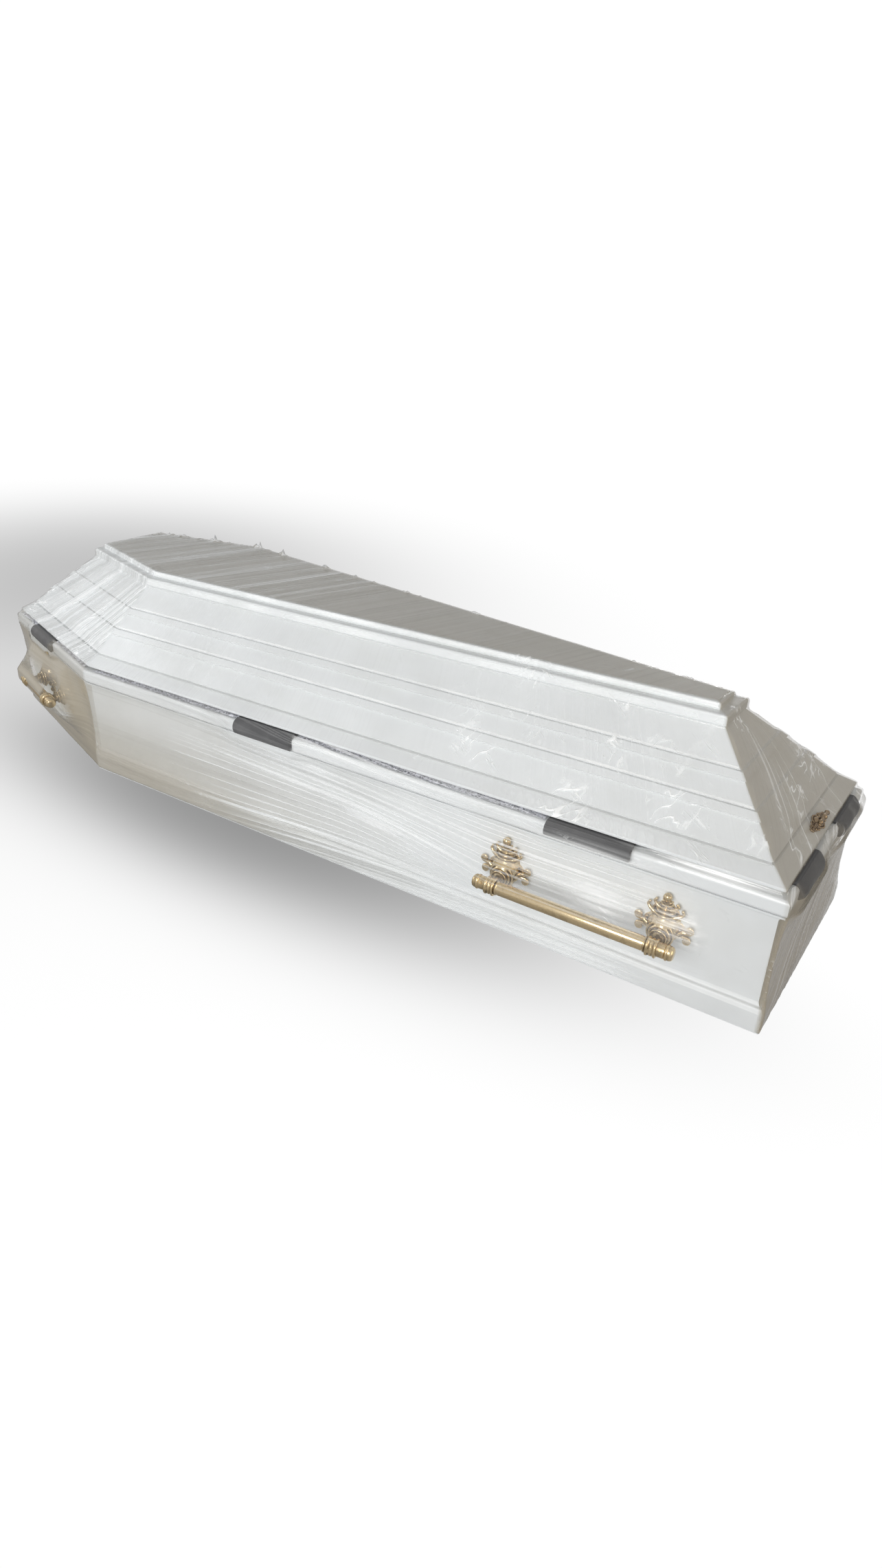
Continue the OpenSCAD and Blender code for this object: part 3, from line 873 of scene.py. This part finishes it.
sleeveSpans = {}
for n, (sleeve, side) in enumerate(sleeves.items()):
    start, end = alongSide(sleeve + "_foam_sleeve", side)
    sleeveSpans.setdefault(side, []).append((start, end))
    tube = cutSleeve(side, start, end, n * 3.7, sleeveCut["drop"].get(sleeve, 1.0))
    piece = addPiece(f"{sleeve}_slit_foam", tube, greyFoam, sharp=50)
    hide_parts(sleeve + "_foam_sleeve")
print("foam sleeves made")


# ---- lining: the crumpled edge of the cloth lining, caught in the gap between rim and lid
liningCut = {
    "width": 20.0,
    "startSetBack": 7.5,
    "low": 0.4,
    "high": 4.6,
    "step": 2.5,
    "rows": 8,
    "margin": 6.0,
    "cornerGap": 20,
    "full": 1.25,
}


def liningStrips(side):
    # the stretches of this side that no sleeve holds
    margin, cornerGap = liningCut["margin"] * mm, liningCut["cornerGap"] * mm
    length = sideAxes(side)[2]
    free, cursor = [], -length / 2 + cornerGap
    for start, end in sorted(sleeveSpans.get(side, [])):
        free.append((cursor, start - margin))
        cursor = end + margin
    free.append((cursor, length / 2 - cornerGap))
    # the lid presses the cloth out of sight between the last sleeve and the foot
    return {rightSide: free[:-1], leftSide: free[1:]}.get(side, free)


def cutLining(side):
    cloth, total, lining = bmesh.new(), 0.0, liningCut
    for start, end in liningStrips(side):
        length = (end - start) / mm
        strip = bmesh.new()
        columns = int(length / lining["step"])
        bmesh.ops.create_grid(strip, x_segments=columns, y_segments=lining["rows"], size=0.5)
        for v in strip.verts:
            u, w = v.co.x + 0.5, v.co.y + 0.5
            x = start / mm + u * length
            ruffle = noise.noise(Vector((x * 0.16, w * 2.2, side * 5.0)))
            fine = noise.noise(Vector((x * 0.45, w * 5.0, side * 9.0)))
            lip = 1.0 - w * 0.7
            wander = 2.2 * lip * noise.noise(Vector((x * 0.11, 3, side)))
            setBack = lining["startSetBack"] + w * lining["width"] + wander
            lift = 0.5 + 0.5 * max(-1.0, min(1.0, 1.7 * ruffle + 0.8 * fine))
            height = lining["low"] + (lining["high"] - lining["low"]) * lift * (0.35 + 0.65 * lip)
            v.co = (x * mm, setBack * mm, rimTop + height * mm)
        joinTo(cloth, strip)
        total += length * mm
    cloth.transform(rimFrame(side))
    bmesh.ops.recalc_face_normals(cloth, faces=cloth.faces)
    return asMesh(cloth), total


for side in (rightShoulder, rightSide, leftSide, leftShoulder):
    mesh, total = cutLining(side)
    piece = addPiece(f"{sideNames[side]}_lining_edge", mesh, liningCloth, sharp=0)
print("lining edge made")


# ---- stretch film: a thin shell a millimetre or two outside everything, tented over handles and sleeves
filmWrap = {
    "base": {"columnStep": 9.0, "rowStep": 3.2, "depth": 1.3},
    "lid": {"columnStep": 6.0, "rowStep": 3.4, "depth": 0.9},
    "handleReach": 2.6,
    "handleRooms": (330.0, 118.0),  # how far a tent runs out towards the head and towards the foot
    "handleAbove": 96.0,
    "handleBelow": 78.0,
    "sleeveReach": 11.5,
    "taut": 5.8,
    "pitch": 42.1044,
    "panelFoot": (38, 22),
}


def profileBase():
    # set-back and height of the film round the base, in millimetres from the floor
    z = rimTop / mm
    return [
        (3.0, 1.2), (-1.2, 2.0), (-1.8, 6), (-2.0, 20), (-2.0, 36), (-1.2, 44), (1.5, 60), (3.5, 90), (4.0, 130),
        (2.5, 175), (0.0, 205), (-1.8, 217), (-2.0, 224), (-2.0, z - 6), (-1.0, z - 1.2), (1.2, z + 1.2),
        (4.5, z + 3.4), (7.8, z + 7.0), (9.2, z + 10),
    ]


def profileLid():
    base, slope = railLow / mm, math.radians(filmWrap["pitch"])
    footBack, footHigh = filmWrap["panelFoot"]
    below = [(9.2, 3), (9.4, 6), (11.4, 8.8), (20, 14.4), (30, 20.4), (36.5, 24.5)]
    panel = [
        (6, 2.2), (30, 2.4), (50, 3.6), (57, 5.1), (72, 5.0), (84, 3.4),
        (100, 3.4), (112, 5.1), (128, 5.0), (142, 3.0), (170, 2.4), (188, 2.6),
    ]
    above = [
        (177.6, 155.5), (177.6, 166), (179.6, 170.6), (184.5, 171.9), (193, 172.2),
        (196.6, 173.5), (197.1, 178), (198.4, 182.4), (202.5, 183.7), (206, 183.8),
    ]
    onPanel = [
        (
            footBack + a * math.cos(slope) - b * math.sin(slope),
            base + footHigh + a * math.sin(slope) + b * math.cos(slope),
        )
        for a, b in panel
    ]
    return [(x, base + z) for x, z in below] + onPanel + [(x, base + z) for x, z in above]


def onSlope(setBack, height):
    # distance up the lid's slope from the foot of its panel, and out from it
    pitch = math.radians(filmWrap["pitch"])
    run, rise = setBack - filmWrap["panelFoot"][0], height - railLow / mm - filmWrap["panelFoot"][1]
    return run * math.cos(pitch) + rise * math.sin(pitch), rise * math.cos(pitch) - run * math.sin(pitch)


def walkProfile(points, step):
    # evenly spaced stops on the profile: set-back, height, and the outward normal there
    points = np.array(points, float)
    lengths = np.concatenate([[0], np.cumsum(np.linalg.norm(np.diff(points, axis=0), axis=1))])
    count = max(4, int(lengths[-1] / step))
    at = np.linspace(0, lengths[-1], count + 1)
    back, high = np.interp(at, lengths, points[:, 0]), np.interp(at, lengths, points[:, 1])
    goBack, goHigh = np.gradient(back), np.gradient(high)
    size = np.hypot(goBack, goHigh)
    return at, back, high, -goHigh / size, goBack / size


def ramp(value, low, high):
    # 0 at low to 1 at high, eased; high may be the smaller
    share = min(1.0, max(0.0, (value - low) / (high - low)))
    return share * share * (3 - 2 * share)


def tentOver(side, x, height):
    # how far the film is held out at this place by a handle or a sleeve, in millimetres
    out, half = 0.0, sideAxes(side)[2] / mm / 2
    rooms = filmWrap["handleRooms"][:: -1 if side in (leftSide, leftShoulder) else 1]
    for held in handleBoxes.values():
        if held["side"] != side:
            continue
        start, end = held["start"] / mm, held["end"] / mm
        above = height - held["height"] / mm
        reach = held["out"] / mm + barTurning["radius"] + filmWrap["handleReach"]
        before = (start - 3 - x) / min(rooms[0], start + half - 4)
        after = (x - end - 3) / min(rooms[1], half - end - 4)
        ease = 1 - min(1.0, max(before, after, 0.0))
        level = 1 - abs(above) / (filmWrap["handleAbove"] if above > 0 else filmWrap["handleBelow"])
        out = max(out, reach * ease**1.6 * min(1.0, max(0.0, level) * 1.16))
    for start, end in sleeveSpans.get(side, []):
        before, after = start / mm - 2 - x, x - end / mm - 2
        ease = 1 - ramp(max(before, after, 0.0), 0, 45)
        level = ramp(height, 172, 222) * (1 - 0.5 * ramp(height, 246, 256))
        out = max(out, filmWrap["sleeveReach"] * ease * level)
    return out


# per side: streak direction (degrees from the length), streaks (painted highlight and shade lines), dust and
# painted shade, and curls (painted glints) on base and lid
filmLooks = {
    rightShoulder: {"base": (3, 0.35, 1.85, 0.2), "lid": (60, 0.62, 0.12, 0.6)},
    rightSide: {"base": (0, 0.75, 0.05, 0.1), "lid": (82, 0.13, 0.0, 0.3)},
    footEnd: {"base": (38, 0.6, 1.75, 0.3), "lid": (52, 0.2, 0.85, 0.7)},
    leftSide: {"base": (0, 0.7, 0.25, 0.2), "lid": (84, 0.3, 0.15, 0.4)},
    leftShoulder: {"base": (4, 0.5, 0.3, 0.2), "lid": (62, 0.7, 0.15, 0.5)},
    headEnd: {"base": (8, 0.5, 0.4, 0.3), "lid": (65, 0.6, 0.25, 0.5)},
}


# single marks in the film, mostly painted glints, glare and shade: place along the side, height (base) or
# distance up the slope (lid), and size
filmMarks = [
    (rightSide, "lid", (250, 45), (52, 26), {"curl": 3.2}),
    (rightSide, "lid", (74, 150), (16, 34), {"curl": 2.4}),
    (rightSide, "lid", (118, -10), (24, 10), {"curl": 2.4}),
    (rightSide, "lid", (376, -30), (60, 12), {"curl": 1.8}),
    (rightSide, "lid", (500, 95), (190, 110), {"curl": 1.3, "pull": 0.15}),
    (rightSide, "lid", (600, -28), (60, 22), {"curl": 2.6}),
    (rightSide, "lid", (-485, 8), (55, 24), {"curl": 1.6}),
    (rightSide, "lid", (430, 215), (90, 40), {"curl": 1.0}),
    (rightSide, "base", (470, 166), (52, 20), {"paintedGlare": 0.6, "curl": 0.6}),
    (rightSide, "base", (50, 132), (80, 9), {"paintedGlare": 0.75}),
    (rightSide, "base", (-170, 196), (120, 8), {"paintedGlare": 0.5}),
    (rightSide, "base", (330, 60), (120, 9), {"paintedGlare": 0.45}),
    (rightSide, "base", (452, 235), (88, 8), {"paintedGlare": 0.5, "curl": 1.4}),
    (rightSide, "base", (586, 168), (38, 20), {"paintedGlare": 0.42}),
    (rightSide, "base", (650, 252), (92, 6), {"paintedGlare": 1.0}),
    (rightSide, "lid", (460, -20), (200, 16), {"paintedGlare": 0.25, "curl": 0.5}),
    (rightShoulder, "base", (-45, 112), (62, 26), {"dustAndShade": 1.3}),
    (rightShoulder, "lid", (-120, 120), (150, 110), {"curl": 1.2, "pull": 0.4}),
    (rightShoulder, "lid", (-215, 60), (30, 120), {"curl": 2.0, "paintedGlare": 0.35}),
    (footEnd, "lid", (-60, 90), (80, 120), {"curl": 1.2, "pull": 0.3}),
    (footEnd, "lid", (150, 20), (50, 60), {"curl": 1.5}),
    (footEnd, "base", (190, 236), (20, 12), {"paintedGlare": 0.7}),
]


def onSleeve(side, x):
    # 1 over a sleeve, fading out at its ends
    away = [max(start / mm - x, x - end / mm, 0.0) for start, end in sleeveSpans.get(side, [])]
    return max((1 - ramp(gap, 0, 14) for gap in away), default=0.0)


def filmStations(step):
    stations = []
    for side in range(6):
        count = max(6, round(sideAxes(side)[2] / mm / step))
        stations += [(side, n / count) for n in range(count)]
    return stations + [(5, 1.0)]


def looksAt(part, side, x, height):
    _, pull, dustAndShade, curl = filmLooks[side][part]
    length = sideAxes(side)[2] / mm
    if side == rightSide and part == "base":
        toFoot = length / 2 - x
        pull *= ramp(toFoot, 100, 330) * (0.35 + 0.65 * ramp(x, -620, -60))
        # dust and painted shade on the near side, heavier towards the head and low down
        dustAndShade += 0.95 * ramp(-x, -250, 720) * (1 - 0.65 * ramp(height, 40, 190))
        dustAndShade += 0.3 * ramp(-x, 100, 600) * (1 - ramp(height, 44, 70))
    if side == rightSide and part == "lid":
        pull *= 0.4 + 1.0 * ramp(-x, -100, 550)
        curl *= ramp(x, 100, 420)
    if part == "base":
        # stretched smooth over the sleeves and along the gap: fewer streaks, less dust and less painted shade
        over = onSleeve(side, x) * ramp(height, 208, 222)
        pull *= 1 - 0.75 * over
        dustAndShade *= 1 - 0.85 * over
        dustAndShade *= 1 - 0.7 * ramp(height, 214, 226)
        held = tentOver(side, x, height) / 50
        pull *= 1 - 0.6 * ramp(held, 0.5, 1.0)
        # dust and painted shade low down by the shoulder handle, clear over its upper part and its near end
        clear = max(ramp(height, 140, 165), ramp(x, 60, 80)) if side == rightShoulder else 1.0
        dustAndShade *= 1 - 0.85 * clear * ramp(held, 0.3, 0.9)
    looks = {"pull": pull, "dustAndShade": dustAndShade, "curl": curl, "paintedGlare": 0.0}
    for markSide, markPart, (atX, atHeight), (reachX, reachHeight), amounts in filmMarks:
        if markSide == side and markPart == part:
            strength = math.exp(-(((x - atX) / reachX) ** 2) - ((height - atHeight) / reachHeight) ** 2)
            for key, amount in amounts.items():
                looks[key] += amount * strength
    return looks


def turned(x, y, degrees):
    turn = math.radians(degrees)
    return x * math.cos(turn) + y * math.sin(turn), y * math.cos(turn) - x * math.sin(turn)


def alongPull(part, side, x, climb):
    # film coordinates in millimetres: along the streaks, and across them
    if part == "base" and side in (rightSide, leftSide):
        # the streaks gather towards the handle
        toHandle = x if side == rightSide else -x
        gather = 1 + 0.7 * ramp(toHandle, -600, 350)
        return x, (climb - 125) * gather
    return turned(x, climb, filmLooks[side][part][0])


def wrapRing(part, profile):
    wrap = filmWrap[part]
    stations = filmStations(wrap["columnStep"])
    at, back, high, outBack, outHigh = walkProfile(profile, wrap["rowStep"])
    columns, rows = len(stations) - 1, len(at) - 1
    bm = bmesh.new()
    bmesh.ops.create_grid(bm, x_segments=columns, y_segments=rows, size=0.5)
    layers = {key: bm.verts.layers.float.new(key) for key in filmKeys}
    uv = bm.loops.layers.uv.new("alongPull")
    cells = {v: (round((v.co.x + 0.5) * columns), round((v.co.y + 0.5) * rows)) for v in bm.verts}
    places = {}
    for v, (column, row) in cells.items():
        side, share = stations[column]
        length = sideAxes(side)[2] / mm
        x, height = (share - 0.5) * length, high[row]
        slope, off = onSlope(back[row], height)
        looks = looksAt(part, side, x, slope if part == "lid" else height)
        looks["slope"] = slope * mm if part == "lid" and side in (rightSide, leftSide) else -1.0
        u, w = alongPull(part, side, x, at[row])
        ridge = 1 - abs(noise.noise(Vector((u * 0.0035, w * 0.085, side * 11.0)))) * 3.2
        slow = noise.noise(Vector((x * 0.006, at[row] * 0.02, side * 3.0)))
        edge = min(1.0, (0.5 - abs(share - 0.5)) * length / 25.0)
        lift = wrap["depth"] * (0.35 * ridge * min(1.0, looks["pull"] + 0.3) + 0.5 * slow) * edge
        lift = max(lift, -0.6)
        if part == "lid" and side not in (rightSide, leftSide):
            # at the ends the film is drawn straight over the strips
            free = ramp(slope, 4, 30) * ramp(slope, 192, 172) * min(1.0, edge * 1.5)
            lift += max(0.0, filmWrap["taut"] - off) * free
        tent = tentOver(side, x, height) if part == "base" else 0.0
        setBack = back[row] + lift * outBack[row] - tent
        v.co = onRing(side, share, setBack * mm, (height + lift * outHigh[row]) * mm)
        for key, value in looks.items():
            v[layers[key]] = value
        places[v] = (x, at[row])
    for face in bm.faces:
        side = stations[min(cells[v][0] for v in face.verts)][0]
        length = sideAxes(side)[2] / mm
        for loop in face.loops:
            x, climb = places[loop.vert]
            if stations[cells[loop.vert][0]][0] != side:
                x = length / 2
            u, w = alongPull(part, side, x, climb)
            loop[uv].uv = (u * mm + side * 3.1, w * mm + side * 1.7)
    bmesh.ops.remove_doubles(bm, verts=bm.verts, dist=1e-5)
    bmesh.ops.recalc_face_normals(bm, faces=bm.faces)
    piece = addPiece("stretch_film_" + part, asMesh(bm), clearFilm, sharp=0)
    piece.visible_shadow = False
    print("film wrapped round the", part, len(piece.data.polygons), "faces")


wrapRing("base", profileBase())
wrapRing("lid", profileLid())

# the film over the top: one sheet cut to the top board, with diagonal pulls and a ragged far edge
topFilm = {
    "setBack": 203.5,
    "cell": 5.0,
    "angle": 72,
    "pull": 0.6,
    "dustAndShade": 0.9,
    "curl": 0.3,
    "tuft": 19.0,
}


def wrapTop():
    top, bm = topFilm, bmesh.new()
    height = railLow / mm + 183.7
    outline = [insetCorner(k, top["setBack"] * mm) / mm for k in range(6)]
    half = max(abs(p.x) for p in outline)
    cells = int(2 * half / top["cell"])
    bmesh.ops.create_grid(bm, x_segments=cells, y_segments=cells, size=half)
    for a, b in zip(outline, outline[1:] + outline[:1]):
        everything, outward = bm.verts[:] + bm.edges[:] + bm.faces[:], Vector((b.y - a.y, a.x - b.x, 0))
        bmesh.ops.bisect_plane(bm, geom=everything, plane_co=a.to_3d(), plane_no=outward, clear_outer=True)
    layers = {key: bm.verts.layers.float.new(key) for key in filmKeys}
    uv = bm.loops.layers.uv.new("alongPull")
    for face in bm.faces:
        for loop in face.loops:
            u, w = turned(loop.vert.co.x, loop.vert.co.y, top["angle"])
            loop[uv].uv = (u * mm + 31, w * mm + 17)
    for v in bm.verts:
        x, y, _ = v.co
        gap = min((Vector((x, y)) - outline[k]).dot(sideAxes(k)[1]) for k in range(6))
        u, w = turned(x, y, top["angle"])
        ridge = 1 - abs(noise.noise(Vector((u * 0.004, w * 0.07, 2.0)))) * 3.0
        lift = max(0.0, 0.8 * ridge) * min(1.0, gap / 12)
        tuft = 0.0
        if y > 0 and gap < 14:
            headward = 0.2 * ramp(x, -250, -420)
            spike = max(0.0, noise.noise(Vector((x * 0.03, 5.0, 8.0))) - 0.1 + headward) * 3.0
            fine = max(0.0, 0.35 + noise.noise(Vector((x * 0.22, y * 0.2, 4.0))))
            tuft = min(1.0, spike * fine * ramp(gap, -1, 3) * (1 - gap / 14))
            lift += top["tuft"] * tuft
        v.co = (x * mm, y * mm, (height + lift) * mm)
        pull = top["pull"] * (1 - 0.75 * ramp(x, -450, 350))
        # painted glare on the ragged tufts, and an even cover of dust and painted shade over the sheet
        for key, value in zip(filmKeys, (pull, top["dustAndShade"], top["curl"], min(1.0, 3 * tuft), -1.0)):
            v[layers[key]] = value
    bmesh.ops.recalc_face_normals(bm, faces=bm.faces)
    if sum(f.normal.z for f in bm.faces) < 0:
        bmesh.ops.reverse_faces(bm, faces=bm.faces)
    area = sum(face.calc_area() for face in bm.faces)
    piece = addPiece("stretch_film_top", asMesh(bm), clearFilm, sharp=0)
    piece.visible_shadow = False


wrapTop()
print("film over the top made")


# ---- stage, lights and camera
def lookAlong(azimuth, elevation, roll):
    # the turn of a camera that looks down from that azimuth and elevation, in degrees
    a, e = math.radians(azimuth), math.radians(elevation)
    back = Vector((math.sin(a) * math.cos(e), -math.cos(a) * math.cos(e), math.sin(e)))
    facing = (-back).to_track_quat("-Z", "Y").to_matrix().to_4x4()
    return facing @ Matrix.Rotation(math.radians(roll), 4, "Z")


cameraSet = {
    "place": (1.173, -1.278, 0.966),
    "azimuth": 36.4,
    "elevation": 25.2,
    "roll": 1.7,
    "lens": 19.31,
    "shift": (-0.0013, -0.0407),
}
cameraData = bpy.data.cameras.new("camera")
cameraData.lens, cameraData.sensor_width = cameraSet["lens"], 36
cameraData.shift_x, cameraData.shift_y = cameraSet["shift"]
camera = bpy.data.objects.new("camera", cameraData)
scene.collection.objects.link(camera)
camera.matrix_world = Matrix.Translation(cameraSet["place"]) @ lookAlong(
    cameraSet["azimuth"], cameraSet["elevation"], cameraSet["roll"]
)
scene.camera = camera

floorMesh = bmesh.new()
bmesh.ops.create_circle(floorMesh, cap_ends=True, segments=96, radius=40)
floor = bpy.data.objects.new("floor", asMesh(floorMesh))
scene.collection.objects.link(floor)
floor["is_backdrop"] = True
floorSet = {
    "toCamera": 1.02, "toShine": 0.5, "toCoffin": 0.25, "darkest": 0.74,
    # painted shadow on the floor: soft grey pools
    "pools": [
        {"middle": (-0.10, -0.26), "reach": (0.60, 0.19), "turn": 3, "depth": 2.2},
        {"middle": (-1.93, 0.54), "reach": (1.33, 1.05), "turn": -17, "depth": 0.75},
    ],
}


def makeFloor():
    material, tree, shader = newMaterial("paleFloor", Roughness=0.9, Specular_IOR_Level=0.0)
    shader["Base Color"].default_value = (0, 0, 0, 1)
    # painted shadow: soft grey pools painted on the floor, to the near left of the coffin and behind its head
    where, shade = objectCoordinates(tree), 0.0
    for shadowPool in floorSet["pools"]:
        (x, y), (long, wide) = shadowPool["middle"], shadowPool["reach"]
        centred = mappedNode(tree, where, shift=(-x, -y, 0))
        spun = mappedNode(tree, centred, turn=(0, 0, math.radians(-shadowPool["turn"])))
        oval = mappedNode(tree, spun, (1 / long, 1 / wide, 1))
        away = newNode(tree, "VectorMath", {0: oval}, operation="LENGTH")
        squared = mathNode(tree, "POWER", away.outputs["Value"], 2.0)
        fall = mathNode(tree, "POWER", math.e, times(tree, squared, -1.0))
        shade = plus(tree, shade, times(tree, fall, shadowPool["depth"]))
    # the painted shadow never gets darker than the darkest value
    spent = mathNode(tree, "POWER", math.e, times(tree, shade, -1 / floorSet["darkest"]))
    shade = times(tree, minus(tree, 1.0, spent), floorSet["darkest"])
    feed(tree, shader["Emission Color"], colourNode(tree, shade, (1, 1, 1, 1), (0, 0, 0, 1)))
    paths = newNode(tree, "LightPath", {}).outputs
    shine = rangeNode(tree, paths["Is Glossy Ray"], 0.0, 1.0, floorSet["toCoffin"], floorSet["toShine"])
    seen = times(tree, paths["Is Camera Ray"], floorSet["toCamera"])
    feed(tree, shader["Emission Strength"], larger(tree, shine, seen))
    return material


floor.data.materials.append(makeFloor())

lighting = {
    "sky": (0.98, 0.985, 0.99),
    "skyStrength": 0.27,
    "skyShine": 0.75,
    "skyToCamera": 1.02,
}
# place, aim, size, power and colour
lamps = {
    "key": ((0.5, -3.6, 1.12), (0.1, 0, 0.2), 3.0, 124, (1.0, 1.0, 0.99)),
    "fill": ((-3.2, -1.2, 1.8), (-0.6, 0, 0.3), 1.6, 16, (0.96, 0.98, 1.0)),
    "warm": ((3.4, -0.2, 1.3), (0.9, 0, 0.2), 1.6, 15, (1.0, 0.85, 0.64)),
    "back": ((-0.2, 3.4, 0.12), (0.0, 0, 0.14), 1.1, 62, (0.98, 0.99, 1.0)),
    "shine": ((0.9, -2.6, 1.9), (0.5, -0.3, 0.2), 0.8, 30, (1.0, 0.99, 0.97)),
}
world = bpy.data.worlds.new("studio")
world.use_nodes = True
scene.world = world
skyTree = world.node_tree
sky = skyTree.nodes["Background"]
sky.inputs["Color"].default_value = (*lighting["sky"], 1)
whiteSky = newNode(skyTree, "Background", {"Color": (1, 1, 1, 1), "Strength": lighting["skyToCamera"]})
paths = newNode(skyTree, "LightPath", {}).outputs
shine = rangeNode(skyTree, paths["Is Glossy Ray"], 0.0, 1.0, lighting["skyStrength"], lighting["skyShine"])
feed(skyTree, sky.inputs["Strength"], shine)
chooser = newNode(skyTree, "MixShader", {0: paths["Is Camera Ray"], 1: sky.outputs[0], 2: whiteSky.outputs[0]})
feed(skyTree, skyTree.nodes["World Output"].inputs["Surface"], chooser.outputs[0])

for name, (place, aim, size, power, colour) in lamps.items():
    light = bpy.data.lights.new(name, "AREA")
    light.shape, light.size, light.energy, light.color = "SQUARE", size, power, colour
    holder = bpy.data.objects.new(name, light)
    # the key gives no mirror image, and the shine lamp nothing else
    holder.visible_glossy, holder.visible_diffuse = name != "key", name != "shine"
    scene.collection.objects.link(holder)
    turn = (Vector(aim) - Vector(place)).to_track_quat("-Z", "Y")
    holder.matrix_world = Matrix.Translation(place) @ turn.to_matrix().to_4x4()
scene.view_settings.view_transform = "Standard"
print("stage, lights and camera set")

low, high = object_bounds()
